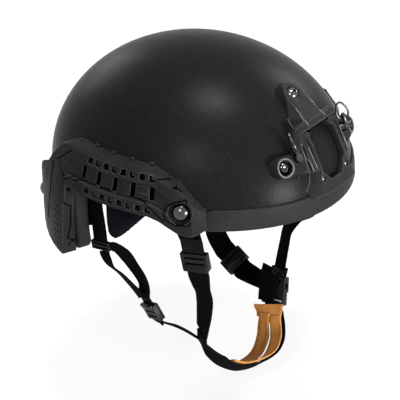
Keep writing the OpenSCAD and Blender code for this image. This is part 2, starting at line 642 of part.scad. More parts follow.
// Front straps run straight through their adjusters
front_lock_at = skin(front_bolt[0], 0) + [18.6, 0.4, -38.5];
front_lock_dir = unit([0.15, -0.1, -0.98]);
front_w = [0.2, -1, 0.05];
function front_at(s) = front_lock_at + front_lock_dir * s;
anchor_w = skin_turn(front_bolt[0], front_bolt[1], 90);
front_top = [
    [below(front_bolt, 14.6, 13), anchor_w, web_w], [below(front_bolt, 17.6, 16.2), anchor_w, web_w],
    [below(front_bolt, 23, 18.2), anchor_w, web_w],
    [front_at(-19), front_w, web_w], [front_at(-15), front_w, web_w],
    [front_at(0), front_w, web_w], [front_at(12), front_w, web_w], [front_at(17), front_w, web_w]
];
front_right_end = [
    [front_at(27), [-0.05, -1, 0.05], web_w], [[-84, -62, -76], [-0.17, -1, 0.05], web_w],
    [[-78, -58, -93], [-0.3, -0.95, 0.05], web_w], [[-72.5, -53, -109], [-0.4, -0.9, 0.1], web_w],
    [[-68.5, -49, -124], [-0.5, -0.85, 0.15], web_w]
];
front_left_end = [
    [front_at(27), front_w, web_w],
    [[-87, -50, -76], [0.55, -0.83, 0.05], web_w], [[-84, -40.5, -93], [0.6, -0.8, 0.05], web_w],
    [[-78.5, -40, -108], [0.55, -0.8, 0.1], web_w], [[-70, -41.5, -125.5], [0.5, -0.85, 0.15], web_w]
];
module front_strap_right() { color("#1c1c1e") band(concat(front_top, front_right_end), web_t); }
module front_strap_left() { color("#1c1c1e") mirror([1, 0, 0]) band(concat(front_top, front_left_end), web_t); }

// Rear straps drop behind the rail to a slider
narrow_w = 15;
drop_angle = 106.8;
rear_drop = skin(drop_angle, 0);
slider_at = rear_drop + [20.8, -1.2, -53];
slider_dir = unit([0.05, -0.1, -1]);
slider_w = [0, 1, -0.1];
hanger_in = 10.6;
hanger_z = 30;
function on_wall(a, z, t, d = hanger_in) = [skin(a, z, -d), skin_turn(a, z, t), narrow_w];
function by_bolt(up, depth) = [below(rear_bolt, -up, depth), skin_turn(rear_bolt[0], rear_bolt[1], 90), narrow_w];
// Runs from the rear anchor's slot forward along the wall, over the nape pad's disc
hanger_route = [
    by_bolt(24.5, 14.9), by_bolt(19.5, 14.8), by_bolt(16.8, 14), by_bolt(16.3, 12.8), by_bolt(16.8, 11.4), by_bolt(20, 10.2),
    on_wall(141.5, 1, 80), on_wall(138, 12, 60, 10.9), on_wall(131, 23, 35, 10.9), on_wall(122, 29, 12),
    on_wall(113, hanger_z, 0), on_wall(103.7, hanger_z, 0)
];
rear_route = [
    on_wall(drop_angle, hanger_z + 7, -90), on_wall(drop_angle, hanger_z - 4, -90, 11.4),
    on_wall(drop_angle, 18, -90, 12.9), on_wall(drop_angle, 8, -90, 13),
    [rear_drop + [14.2, -2.2, -8], [0.15, 1, 0], narrow_w], [rear_drop + [17.8, -1.2, -30], [0, 1, 0], narrow_w],
    [slider_at - slider_dir * 5.2, slider_w, narrow_w]
];
module rear_strap() {
    band(hanger_route, web_t, 2);
    band(rear_route, web_t);
}
module rear_strap_right() { color("#1c1c1e") rear_strap(); }
module rear_strap_left() { color("#1c1c1e") mirror([1, 0, 0]) rear_strap(); }

// Jaw straps: a loop through the slider whose two strands are sewn together below it
rear_lock_at = [-80.1, -4.5, -112.9];
rear_lock_dir = unit([0.23, -0.38, -0.9]);
rear_lock_w = [0.3, 0.92, -0.3];
function rear_at(s) = rear_lock_at + rear_lock_dir * s;
jaw_front_route = [
    [slider_at + [0.4, -10.3, 1.2], [0.05, 0.6, -0.8], 8], [[-95.5, 22.8, -51], [0.13, 0.45, -0.89], 12],
    [[-94.5, 13.7, -55.8], [0.05, 0.55, -0.83], narrow_w], [[-92.5, 7, -65.1], [0.17, 0.67, -0.72], narrow_w],
    [[-89.5, 1.6, -75.6], [0.25, 0.7, -0.68], narrow_w], [[-86.5, -0.1, -86.5], [0.33, 0.82, -0.5], narrow_w],
    [rear_at(-17), rear_lock_w, narrow_w], [rear_at(-13), rear_lock_w, narrow_w], [rear_at(-2), rear_lock_w, narrow_w],
    [rear_at(9.4), rear_lock_w, narrow_w], [rear_at(11.8), rear_lock_w, narrow_w],
    [[-75.6, -16.5, -124], [0.6, 0.65, -0.45], 12], [[-74, -24.7, -124.5], [0.74, 0.5, -0.43], 13],
    [[-70.3, -33.2, -128.4], [0.74, 0.5, -0.43], 13], [[-67.2, -41.3, -133.4], [0.74, 0.5, -0.43], 10]
];
jaw_rear_route = [
    [slider_at + [0.6, -2.5, -5.6], [0, 1, -0.05], 11], [slider_at + [0.6, -4, -10.5], [0.1, 1, -0.05], 12],
    [[-95, 28.8, -71.5], [0.3, 0.9, 0], 13],
    [[-92, 20.4, -78.5], [0.5, 0.75, -0.4], narrow_w], [[-88, 10.3, -90], [0.4, 0.85, -0.35], narrow_w],
    [rear_at(-17) + [-2.6, 0.6, 0], rear_lock_w, narrow_w]
];
// The left jaw strap hangs slack in one wide piece
left_lock_at = [80, 16.5, -145];
left_lock_dir = unit([-0.26, -0.9, -0.34]);
left_lock_w = [-0.63, 0.29, -0.72];
function left_at(s) = left_lock_at + left_lock_dir * s;
jaw_left_route = [
    [[-slider_at[0] + 1, slider_at[1] - 0.1, slider_at[2] - 5.8], [0, 1, -0.1], narrow_w], [[98, 39.5, -70], [0, 1, -0.1], 16],
    [[99.5, 45, -92], [-0.35, 0.85, -0.3], 19], [[97, 49.5, -113], [-0.55, 0.6, -0.55], web_w],
    [[92, 47, -129], [-0.63, 0.35, -0.7], web_w], [left_at(-18), left_lock_w, web_w],
    [left_at(-14), left_lock_w, web_w], [left_at(-3), left_lock_w, web_w],
    [left_at(10), left_lock_w, web_w], [left_at(14), left_lock_w, web_w],
    [[74.5, -9, -151], [-0.6, 0.25, -0.75], 18], [[70.5, -22, -150], [-0.55, 0.2, -0.8], 16]
];
module jaw_strap_right() {
    color("#1c1c1e") {
        band(jaw_front_route, web_t);
        band(jaw_rear_route, web_t);
    }
}
module jaw_strap_left() { color("#1c1c1e") band(jaw_left_route, web_t); }

// Ladder adjuster: a frame that the webbing runs straight through, with two bars and a lift tab
lock_wall = 1.6;
lock_len = 16;
module adjuster(w) {
    slot = web_t + 2 * fit;
    thick = slot + 2 * lock_wall;
    difference() {
        union() {
            cube([w + 4.4, lock_len, thick], center = true);
            translate([0, lock_len / 2 - 2, thick / 2]) rotate([14, 0, 0]) cube([w + 2, 6, 2.4], center = true);
        }
        cube([w + 2 * fit, lock_len + 20, slot], center = true);
        for (y = [-4, 1.6]) translate([0, y, thick / 2]) cube([w - 1, 2.4, thick], center = true);
    }
}
module front_adjuster() { place(front_lock_at, -front_w, front_lock_dir) adjuster(web_w); }
module front_adjuster_right() { color("#2c2c2f") front_adjuster(); }
module front_adjuster_left() { color("#2c2c2f") mirror([1, 0, 0]) front_adjuster(); }
module rear_adjuster_right() {
    color("#2c2c2f") place(rear_lock_at, -rear_lock_w, -rear_lock_dir) adjuster(narrow_w);
}
module rear_adjuster_left() {
    color("#2c2c2f") place(left_lock_at, left_lock_w, left_lock_dir) adjuster(web_w);
}

// Slider: a ring of two bars that the rear strap and the jaw strap's loop hang on
module slider() {
    place(slider_at, slider_w, slider_dir) difference() {
        cube([narrow_w + 4, 8, 4.4], center = true);
        for (y = [-2, 2]) translate([0, y, 0]) cube([narrow_w + 0.8, 2, 8], center = true);
    }
}
module rear_slider_right() { color("#232325") slider(); }
module rear_slider_left() { color("#232325") mirror([1, 0, 0]) slider(); }

// Junctions: sewn blocks where the front, jaw and chin straps meet, and the flap behind the buckle
junction_at = [-67, -48, -131];
left_junction_at = [66, -43, -130];
junction_x = [-0.5, -0.85, 0.15];
junction_y = unit([0.2, 0.1, -1]);
junction_h = 8;
junction_w = 15;
junction_t = 3.6;
buckle_top = [69, -37, -138.5];
buckle_dir = unit([-0.235, -0.12, -0.965]);
buckle_x = [0, -1, 0.12];
function buckle_at(s) = buckle_top + buckle_dir * s;
flap_route = [
    [[64.5, -36, -128], [0, -1, 0.1], 21], [[62.4, -34, -140], [0, -1, 0.1], 20],
    [[59.6, -34, -152], [0, -1, 0.1], 18], [[57, -35, -161], [0, -1, 0.1], 18]
];
module jaw_junctions() {
    color("#1a1a1c") {
        place(junction_at, junction_x, junction_y) cube([junction_w, junction_h, junction_t], center = true);
        place(left_junction_at, [-junction_x[0], junction_x[1], junction_x[2]], [-junction_y[0], junction_y[1], junction_y[2]])
            cube([junction_w, junction_h, junction_t], center = true);
        band(flap_route, web_t);
    }
}

// Side-release buckle: the socket hangs from the left junction, the plug carries the chin strap
buckle_w = 26;
buckle_t = 8;
socket_len = 15;
plug_len = 12;
prong_len = 11;
buckle_wall = 1.6;
module socket_local() {
    inner_w = buckle_w - 2 * buckle_wall - 1;
    difference() {
        translate([-buckle_w / 2, 0, -buckle_t / 2]) cube([buckle_w, socket_len, buckle_t]);
        translate([-inner_w / 2, 3, -buckle_t / 2 + buckle_wall]) cube([inner_w, socket_len, buckle_t - 2 * buckle_wall]);
        for (s = [-1, 1]) translate([s * buckle_w / 2, 8, 0]) cube([8, 6, buckle_t - 2 * buckle_wall], center = true);
        translate([-8, 3.5, -buckle_t / 2 - 1]) cube([16, 2, buckle_wall + 1.5]);
    }
    // Bar that the junction's webbing turns round
    translate([-buckle_w / 2 + 2, -1.3, -1.5]) cube([buckle_w - 4, 2, 3]);
}
module plug_local() {
    inner_t = buckle_t - 2 * buckle_wall - 2 * fit;
    reach = buckle_w / 2 - buckle_wall - 0.5 - fit;
    translate([0, socket_len + fit, 0]) {
        difference() {
            translate([-buckle_w / 2 + 1, 0, -buckle_t / 2 + 0.4]) cube([buckle_w - 2, plug_len, buckle_t - 0.8]);
            translate([-web_w / 2 - fit, plug_len - 5, -buckle_t]) cube([web_w + 2 * fit, 2.6, 2 * buckle_t]);
        }
        for (s = [-1, 1]) translate([s * (reach - 1.7), -prong_len / 2, 0]) {
            cube([3.4, prong_len + 1, inner_t], center = true);
        }
        translate([0, -prong_len / 2 + 1, 0]) cube([3, prong_len - 1, inner_t], center = true);
    }
}
module buckle_socket() { color("#232325") place(buckle_top, buckle_x, buckle_dir) socket_local(); }
module buckle_plug() { color("#2a2a2c") place(buckle_top, buckle_x, buckle_dir) plug_local(); }

// Chin strap: webbing from the right junction under the chin up to the plug
chin_end = socket_len + plug_len + fit + 2;
chin_route = [
    [junction_at + junction_y * (junction_h / 2 + 1.4), [-0.5, -0.85, 0.15], 17],
    [[-59.5, -49.5, -146], [-0.3, -0.93, 0.2], 18], [[-49, -50.5, -160], [0, -0.93, 0.36], 20],
    [[-33, -51, -177], [0, -0.85, 0.5], 19], [[-14, -55, -190], [0, -0.75, 0.65], 17],
    [[8, -59, -196], [0, -0.72, 0.69], 15], [[25, -62, -194], [0, -0.82, 0.57], 15],
    [[38, -61, -186], [0, -0.93, 0.36], 15], [[46.5, -55.5, -177], [0.05, -1, 0.15], 15],
    [[53, -48.5, -171], [0, -1, 0.05], 16], [buckle_at(chin_end + 4), buckle_x, 17], [buckle_at(chin_end), buckle_x, 17]
];
module chin_strap() { color("#1c1c1e") band(chin_route, web_t); }

// Chin cup: leather lining in two bands with a slit between, joined by a flap below the buckle
cup_lift = -(web_t + leather_t) / 2 - 0.65;
cup_front_route = [
    [[-33, -51, -177], [0, -0.85, 0.5], 20], [[-14, -55, -190], [0, -0.75, 0.65], 18],
    [[8, -59, -196], [0, -0.72, 0.69], 15], [[25, -62, -194], [0, -0.82, 0.57], 14],
    [[37, -60.5, -185.5], [0, -0.93, 0.36], 13], [[45.5, -55, -177], [0.05, -1, 0.15], 12],
    [[50, -51, -168.5], [0, -1, 0.05], 12]
];
cup_rear_route = [
    [[-31, -45.5, -177], [0, -0.9, 0.45], 8], [[-13, -43.5, -193.5], [0, -0.95, 0.3], 9],
    [[6, -46.5, -200], [0, -1, 0.15], 12], [[24, -47.5, -198.5], [0, -1, 0.1], 12.5],
    [[37.8, -45.5, -188.8], [0, -1, 0.1], 13.5], [[45.2, -41.5, -178.6], [0, -1, 0.1], 12],
    [[49.6, -40, -169], [0, -1, 0.1], 11]
];
cup_flap_route = [
    [[48.8, -43.5, -174], [0, -1, 0.05], 27], [[51.3, -43.5, -168], [0, -1, 0.05], 29],
    [[54, -41.5, -160.5], [0, -1, 0.05], 29]
];
module chin_cup() {
    color("#c08a4a") {
        band(cup_front_route, leather_t, lift = cup_lift);
        band(cup_rear_route, leather_t, lift = cup_lift);
        band(cup_flap_route, leather_t, lift = cup_lift);
    }
}

shell();
edge_trim();
rail_right();
rail_left();
rail_bolts();
rail_nuts();
shroud_frame();
shroud_bolts();
shroud_nuts();
shroud_screws();
lanyard_hook_right();
lanyard_hook_left();
lanyard_pin_right();
lanyard_pin_left();
crown_pad();
front_pad();
rear_pad();
side_pad_right();
side_pad_left();
temple_pad_right();
temple_pad_left();
nape_pad_right();
nape_pad_left();
hook_discs();
strap_anchors();
front_strap_right();
front_strap_left();
rear_strap_right();
rear_strap_left();
jaw_strap_right();
jaw_strap_left();
front_adjuster_right();
front_adjuster_left();
rear_adjuster_right();
rear_adjuster_left();
rear_slider_right();
rear_slider_left();
jaw_junctions();
buckle_socket();
buckle_plug();
chin_strap();
chin_cup();
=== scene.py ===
"""High-cut combat helmet: laminate shell, rubber edge trim, slotted rails, front shroud, pads and chin harness."""
import bpy
import bmesh
from math import asin, atan2, ceil, cos, degrees, hypot, pi, radians, sin, sqrt
from mathutils import Matrix, Vector
from mathutils.bvhtree import BVHTree


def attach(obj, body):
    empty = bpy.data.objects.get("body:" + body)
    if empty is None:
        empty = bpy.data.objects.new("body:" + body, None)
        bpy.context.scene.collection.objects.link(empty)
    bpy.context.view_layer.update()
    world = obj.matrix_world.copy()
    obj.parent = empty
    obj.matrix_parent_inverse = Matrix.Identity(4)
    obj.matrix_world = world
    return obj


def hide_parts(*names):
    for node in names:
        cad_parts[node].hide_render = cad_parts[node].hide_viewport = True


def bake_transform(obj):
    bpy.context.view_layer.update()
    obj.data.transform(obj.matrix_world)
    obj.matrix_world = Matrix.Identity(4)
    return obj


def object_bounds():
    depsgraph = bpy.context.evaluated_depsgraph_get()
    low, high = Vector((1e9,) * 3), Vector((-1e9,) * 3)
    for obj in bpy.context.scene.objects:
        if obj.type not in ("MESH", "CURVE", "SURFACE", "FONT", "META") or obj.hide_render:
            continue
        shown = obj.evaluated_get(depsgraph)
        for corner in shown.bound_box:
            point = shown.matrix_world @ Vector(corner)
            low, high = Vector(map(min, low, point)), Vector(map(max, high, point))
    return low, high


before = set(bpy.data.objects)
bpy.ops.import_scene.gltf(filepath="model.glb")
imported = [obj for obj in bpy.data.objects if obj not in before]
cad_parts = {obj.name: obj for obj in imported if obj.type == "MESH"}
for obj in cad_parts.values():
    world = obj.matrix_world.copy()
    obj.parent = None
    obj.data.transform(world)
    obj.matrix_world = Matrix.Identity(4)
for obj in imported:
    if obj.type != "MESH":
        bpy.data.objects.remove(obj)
cad_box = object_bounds()
scene = bpy.context.scene
scene.view_settings.view_transform = "Standard"


def place_and_aim(thing, at, towards):
    thing.location = at
    thing.rotation_euler = (Vector(towards) - Vector(at)).to_track_quat("-Z", "Y").to_euler()
    scene.collection.objects.link(thing)


# Camera at the photograph's angle
camera_data = bpy.data.cameras.new("front_right_view")
camera_data.sensor_width = 36
camera_data.lens = 154.4
camera_data.clip_end = 20
camera = bpy.data.objects.new("front_right_view", camera_data)
place_and_aim(camera, (-1.108, -0.776, 0.688), (-0.0252, -0.0165, -0.0228))
scene.camera = camera

# Shell form in millimetres: half width, half length, height of the crown and depth of the nape
HALF_W, HALF_L, CROWN, NAPE = 122, 137.5, 115, 58
# Rise of the rim over the ears, wall, how far the sides tuck in at the nape, and the trim below the rim
EAR_RISE, WALL, TUCK, TRIM_T = 10.5, 8, 5, 2
# Way round the shell for one degree of plan angle
MM_PER_DEG = 2.36
SIDES = ("right", "left")


def ramp(v, v0, v1):
    """Nothing up to v0, one from v1 on, with a soft rise between them."""
    t = min(1, max(0, (v - v0) / (v1 - v0)))
    return t * t * (3 - 2 * t)


def mix(a, b, t):
    return a + (b - a) * t


def lat(z, h):
    """Width of the shell at height z, as a share of its width at the widest."""
    return sqrt(max(0, 1 - (z / h) ** 2)) if z > 0 else 1 - TUCK * z * z / (NAPE * NAPE * HALF_W)


def skin(a, z, o=0):
    """Point on the shell at plan angle a from the front towards the wearer's right, height z and offset o."""
    k = lat(z, CROWN + o)
    return Vector((-(HALF_W + o) * k * sin(radians(a)), -(HALF_L + o) * k * cos(radians(a)), z))


def skin_out(a, z):
    p = skin(a, z)
    rise = z / CROWN ** 2 if z > 0 else 2 * TUCK * z / (HALF_W * NAPE ** 2)
    return Vector((p.x / HALF_W ** 2, p.y / HALF_L ** 2, rise)).normalized()


def skin_down(a, z):
    n = skin_out(a, z)
    return Vector((n.x * n.z, n.y * n.z, n.z * n.z - 1)).normalized()


def skin_turn(a, z, t):
    """Direction along the skin, t degrees round from straight up."""
    up = -skin_down(a, z)
    return up * cos(radians(t)) + up.cross(skin_out(a, z)) * sin(radians(t))


def below(bolt, down, depth):
    """Point inside the shell, down from a bolt."""
    return skin(*bolt) + skin_down(*bolt) * down - skin_out(*bolt) * depth


def steps(first, last, step):
    count = int(ceil((last - first) / step - 1e-6))
    return [first + i * step for i in range(count + 1)]


# Rim: heights in millimetres, then plan angles and corner radii in degrees
EAR_Z, NAPE_Z = EAR_RISE + TRIM_T, TRIM_T - NAPE
BROW_END, EAR_FRONT, EAR_BACK, NAPE_SIDE = 60, 76, 111.4, 112.2
EAR_R, CORNER_R = 3.2, 5


def rim_half():
    """Rim as plan angle and height, from the brow over the ear and down to the nape."""
    ear_r, corner_r = EAR_R * MM_PER_DEG, CORNER_R * MM_PER_DEG
    return (
        [(a, TRIM_T) for a in steps(0, BROW_END, 3)]
        + [(a, mix(TRIM_T, EAR_Z, ramp(a, BROW_END, EAR_FRONT))) for a in steps(BROW_END, EAR_FRONT, 1.6)]
        + [(a, EAR_Z) for a in steps(EAR_FRONT + 2, 106, 4)]
        + [(EAR_BACK - EAR_R * (1 - sin(t)), EAR_Z - ear_r * (1 - cos(t))) for t in map(radians, steps(0, 84, 7))]
        + [(EAR_BACK + 0.9 * (8 - z) / 50, z) for z in steps(2, -42, -4)]
        + [
            (NAPE_SIDE + CORNER_R * (1 - cos(t)), NAPE_Z + corner_r * (1 - sin(t)))
            for t in map(radians, steps(4, 88, 7))
        ]
        + [(min(a, 180), NAPE_Z) for a in steps(119, 180, 3)]
    )


right_rim = rim_half()
RIM = right_rim + [(360 - a, z) for a, z in reversed(right_rim[1:-1])]


# Mesh helpers
STILL, FLIP = Matrix.Identity(4), Matrix.Scale(-1, 4, (1, 0, 0))


def turned(angle, axis):
    return Matrix.Rotation(radians(angle), 4, axis)


def unit(x, y, z):
    return Vector((x, y, z)).normalized()


def sweep(across, along, place, uv_place=None, fill=False):
    """A grid bent into shape: place takes two fractions and gives millimetres."""
    bm = bmesh.new()
    uv = bm.loops.layers.uv.new("UVMap")
    bmesh.ops.create_grid(bm, x_segments=across, y_segments=along, size=0.5)
    for face in bm.faces:
        for loop in face.loops:
            u, v = loop.vert.co.x + 0.5, loop.vert.co.y + 0.5
            loop[uv].uv = uv_place(u, v) if uv_place else (u, v)
    for vert in bm.verts:
        vert.co = place(vert.co.x + 0.5, vert.co.y + 0.5) / 1000
    bmesh.ops.remove_doubles(bm, verts=bm.verts, dist=2e-6)
    if fill:
        bmesh.ops.holes_fill(bm, edges=[e for e in bm.edges if e.is_boundary], sides=0)
    bmesh.ops.recalc_face_normals(bm, faces=bm.faces)
    return bm


def rod_mesh(points, radius, normal, closed=False, around=10):
    """A round wire or piping through points in millimetres."""
    count = len(points)
    spans = count if closed else count - 1

    def place(u, v):
        i = round(v * spans)
        if closed:
            ahead, behind = points[(i + 1) % count], points[(i - 1) % count]
        else:
            ahead, behind = points[min(count - 1, i + 1)], points[max(0, i - 1)]
        along = (ahead - behind).normalized()
        side = along.cross(Vector(normal)).normalized()
        angle = 2 * pi * u
        return points[i % count] + (side * cos(angle) + side.cross(along) * sin(angle)) * radius

    return sweep(around, spans, place, fill=not closed)


def rod_part(points, radius, normal, place=STILL, **kind):
    """A rod for join_meshes, back in millimetres."""
    bm = rod_mesh(points, radius, normal, **kind)
    bm.transform(Matrix.Scale(1000, 4))
    return bm, place


def lathe_mesh(profile, around=32, socket=0.0):
    """A turned form in millimetres from radius and height pairs, six-sided inside the socket's radius."""
    bm = bmesh.new()
    verts = [bm.verts.new((r, 0, h)) for r, h in profile]
    edges = [bm.edges.new(pair) for pair in zip(verts, verts[1:])]
    bmesh.ops.spin(
        bm, geom=verts + edges, cent=(0, 0, 0), axis=(0, 0, 1), angle=2 * pi, steps=around, use_merge=True
    )
    bmesh.ops.remove_doubles(bm, verts=bm.verts, dist=1e-4)
    for vert in bm.verts:
        reach = vert.co.xy.length
        if 0.1 < reach < socket + 0.01:
            turn = degrees(atan2(vert.co.y, vert.co.x)) % 60 - 30
            vert.co.xy *= cos(radians(30)) / cos(radians(turn))
    bmesh.ops.recalc_face_normals(bm, faces=bm.faces)
    return bm


def join_meshes(parts):
    """One bmesh in metres from bmeshes in millimetres and the places they go to."""
    whole = bmesh.new()
    for bm, matrix in parts:
        bm.transform(Matrix.Scale(0.001, 4) @ matrix)
        if matrix.determinant() < 0:
            bmesh.ops.reverse_faces(bm, faces=bm.faces)
        mesh = bpy.data.meshes.new("part")
        bm.to_mesh(mesh)
        bm.free()
        whole.from_mesh(mesh)
        bpy.data.meshes.remove(mesh)
    return whole


def block_mesh(size, edge=0.3):
    """A moulded boss with rounded edges."""
    bm = bmesh.new()
    bmesh.ops.create_cube(bm, size=1)
    bmesh.ops.scale(bm, vec=size, verts=bm.verts)
    bmesh.ops.bevel(bm, geom=list(bm.edges), offset=edge, segments=2, profile=0.5, affect="EDGES", material=-1)
    return bm


def surface_frame(a, z, o):
    """Frame on the shell's skin: X round the helmet, Y up it, Z out of it."""
    out, rise = skin_out(a, z), -skin_down(a, z)
    columns = (rise.cross(out), rise, out, skin(a, z) + out * o)
    return Matrix([[column[k] for column in columns] for k in range(3)] + [[0, 0, 0, 1]])


def object_from(name, bm):
    mesh = bpy.data.meshes.new(name)
    bm.to_mesh(mesh)
    bm.free()
    thing = bpy.data.objects.new(name, mesh)
    scene.collection.objects.link(thing)
    return thing


def finish_piece(name, bm, look, replaces=(), smooth_angle=35, body="helmet"):
    """An object from a bmesh in metres. A look is a material slot and its material."""
    slot, material = look
    for face in bm.faces:
        face.smooth = True
    for edge in bm.edges:
        edge.smooth = len(edge.link_faces) == 2 and edge.calc_face_angle(0) < radians(smooth_angle)
    piece = object_from(name, bm)
    piece.data.materials.append(material)
    if body:
        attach(piece, body)
    if replaces:
        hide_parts(*replaces)
    return piece


def split_polygons(bm):
    bmesh.ops.triangulate(bm, faces=[f for f in bm.faces if len(f.verts) > 4])


def node_copy(node, width=0.0):
    """A merged copy of a frame node, its sharp edges rounded by a width in millimetres."""
    bm = bmesh.new()
    bm.from_mesh(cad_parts[node].data)
    bmesh.ops.remove_doubles(bm, verts=bm.verts, dist=1e-5)
    bmesh.ops.dissolve_limit(bm, angle_limit=radians(1), verts=bm.verts, edges=bm.edges)
    if width:
        sharp = [e for e in bm.edges if len(e.link_faces) == 2 and e.calc_face_angle(0) > radians(30)]
        bmesh.ops.bevel(
            bm, geom=sharp, offset=width / 1000, segments=2, profile=0.5, affect="EDGES", clamp_overlap=True,
            material=-1
        )
    split_polygons(bm)
    return bm


# Material helpers: an input is a number, a colour or another node's output
def feed(tree, node, inputs):
    for name, value in inputs.items():
        if isinstance(value, bpy.types.NodeSocket):
            tree.links.new(value, node.inputs[name])
        else:
            node.inputs[name].default_value = value
    return node


def add_node(tree, kind, inputs={}, **settings):
    node = tree.nodes.new("ShaderNode" + kind)
    for name, value in settings.items():
        setattr(node, name, value)
    return feed(tree, node, inputs)


def new_material(name):
    material = bpy.data.materials.new(name)
    material.use_nodes = True
    return material, material.node_tree


def finish_material(material, inputs):
    feed(material.node_tree, material.node_tree.nodes["Principled BSDF"], inputs)
    return material


def coords(tree, kind="Object"):
    return add_node(tree, "TexCoord").outputs[kind]


def noise(tree, scale, detail, rough):
    inputs = {"Vector": coords(tree), "Scale": scale, "Detail": detail, "Roughness": rough}
    return add_node(tree, "TexNoise", inputs).outputs["Fac"]


def cells(tree, scale):
    return add_node(tree, "TexVoronoi", {"Vector": coords(tree), "Scale": scale}).outputs["Distance"]


def shades(tree, fac, stops):
    """Colours or grey levels that a value picks out."""
    node = add_node(tree, "ValToRGB", {"Fac": fac})
    while len(node.color_ramp.elements) < len(stops):
        node.color_ramp.elements.new(0.5)
    for element, (at, colour) in zip(node.color_ramp.elements, stops):
        element.position = at
        element.color = (*colour, 1) if isinstance(colour, tuple) else (colour, colour, colour, 1)
    return node.outputs["Color"]


def bump(tree, height, strength, distance, **beneath):
    inputs = {"Height": height, "Strength": strength, "Distance": distance, **beneath}
    return add_node(tree, "Bump", inputs).outputs["Normal"]


def calculate(tree, operation, a, b):
    return add_node(tree, "Math", {0: a, 1: b}, operation=operation).outputs[0]


def blend_colours(tree, factor, a, b):
    return add_node(tree, "Mix", {"Factor": factor, "A": a, "B": b}, data_type="RGBA").outputs["Result"]


def paint_edge_light_and_corner_shade(tree, colour, light):
    """Paler along raised edges with wear and a painted highlight, and darker in the corners with painted shade."""
    rounded = add_node(tree, "Bevel", {"Radius": 0.0009}, samples=6).outputs["Normal"]
    surface = add_node(tree, "NewGeometry").outputs["Normal"]
    likeness = add_node(tree, "VectorMath", {0: rounded, 1: surface}, operation="DOT_PRODUCT").outputs["Value"]
    openness = add_node(tree, "AmbientOcclusion", {"Distance": 0.003}, samples=6).outputs["AO"]
    edge, free = shades(tree, likeness, [(0.8, 1.0), (0.99, 0.0)]), shades(tree, openness, [(0.6, 0.0), (0.85, 1.0)])
    in_light = shades(tree, openness, [(0.2, 0.0), (0.62, 1.0)])
    shaded = blend_colours(tree, in_light, (0.0015, 0.0015, 0.0016, 1), colour)
    return blend_colours(tree, calculate(tree, "MULTIPLY", edge, free), shaded, (*light, 1))


def grained(name, dark, light, rough, grain, strength, depth=0.0001, metallic=0.0, specular=0.5, edge_wear_and_highlight=None):
    """Moulded, painted or cast finish: fine grain, slow colour drift and uneven gloss."""
    material, tree = new_material(name)
    fine = noise(tree, grain, 3.0, 0.6)
    slow = noise(tree, 28, 4.0, 0.6)
    colour = shades(tree, slow, [(0.3, dark), (0.75, light)])
    return finish_material(material, {
        "Metallic": metallic, "Specular IOR Level": specular,
        # When an edge colour is given, edges get wear and a painted highlight, and corners get painted shade
        "Base Color": paint_edge_light_and_corner_shade(tree, colour, edge_wear_and_highlight) if edge_wear_and_highlight else colour,
        "Roughness": shades(tree, slow, [(0.25, rough - 0.05), (0.7, rough + 0.05)]),
        "Normal": bump(tree, fine, strength, depth)
    })


def shell_coating():
    """Satin black coating with a fine raised speckle."""
    material, tree = new_material("speckled_coating")
    grit = noise(tree, 1100, 2.0, 0.6)
    slow = noise(tree, 14, 4.0, 0.65)
    speckle = calculate(tree, "ADD", cells(tree, 620), grit)
    tones = [(0.35, (0.004, 0.004, 0.0042)), (0.62, (0.008, 0.008, 0.0083)), (0.8, (0.028, 0.028, 0.0285))]
    return finish_material(material, {
        "Base Color": shades(tree, grit, tones), "Roughness": shades(tree, slow, [(0.3, 0.3), (0.7, 0.36)]),
        "Specular IOR Level": 0.03, "Normal": bump(tree, speckle, 0.3, 0.0002)
    })


def woven(name, dark, light, ribs_across=None):
    """Webbing: ribs along the length crossed by fine rows, read from the strap's own UV in metres."""
    rib, row = 0.0017, 0.0011
    material, tree = new_material(name)
    lengthways = add_node(tree, "Mapping", {"Vector": coords(tree, "UV"), "Rotation": (0, 0, radians(90))})
    weave = add_node(tree, "TexBrick", {
        "Vector": lengthways.outputs["Vector"], "Scale": 1, "Brick Width": row * 2, "Row Height": rib,
        "Mortar Size": rib * 0.16, "Mortar Smooth": 1
    }, offset=0.5)
    fluff = noise(tree, 420, 4.0, 0.7)
    slow = noise(tree, 36, 3.0, 0.6)
    normal = bump(tree, fluff, 0.35, 0.0003, Normal=bump(tree, weave.outputs["Fac"], -0.8, 0.0004))
    if ribs_across:
        wave = {"Vector": coords(tree, "UV"), "Scale": 0.314 / ribs_across, "Distortion": 0.3}
        ribs = add_node(tree, "TexWave", wave, bands_direction="Y").outputs["Fac"]
        normal = bump(tree, ribs, 0.9, 0.0008, Normal=normal)
    return finish_material(material, {
        "Base Color": shades(tree, slow, [(0.3, dark), (0.75, light)]), "Roughness": 0.8,
        "Specular IOR Level": 0.015, "Normal": normal
    })


def leather_finish():
    material, tree = new_material("tan_leather")
    slow = noise(tree, 45, 5.0, 0.65)
    nap = noise(tree, 700, 3.0, 0.7)
    pores = bump(tree, cells(tree, 900), 0.3, 0.0002)
    tones = [(0.25, (0.3, 0.115, 0.02)), (0.5, (0.4, 0.16, 0.032)), (0.8, (0.5, 0.225, 0.06))]
    return finish_material(material, {
        "Base Color": shades(tree, slow, tones), "Roughness": 0.82, "Specular IOR Level": 0.2,
        "Sheen Weight": 0.05, "Normal": bump(tree, nap, 0.4, 0.0003, Normal=pores)
    })


def pad_fabric(name, dark, light):
    """Brushed knit over foam."""
    material, tree = new_material(name)
    slow = noise(tree, 30, 4.0, 0.6)
    return finish_material(material, {
        "Base Color": shades(tree, slow, [(0.3, dark), (0.75, light)]), "Roughness": 0.85,
        "Specular IOR Level": 0.015, "Normal": bump(tree, cells(tree, 1300), 0.5, 0.0004)
    })


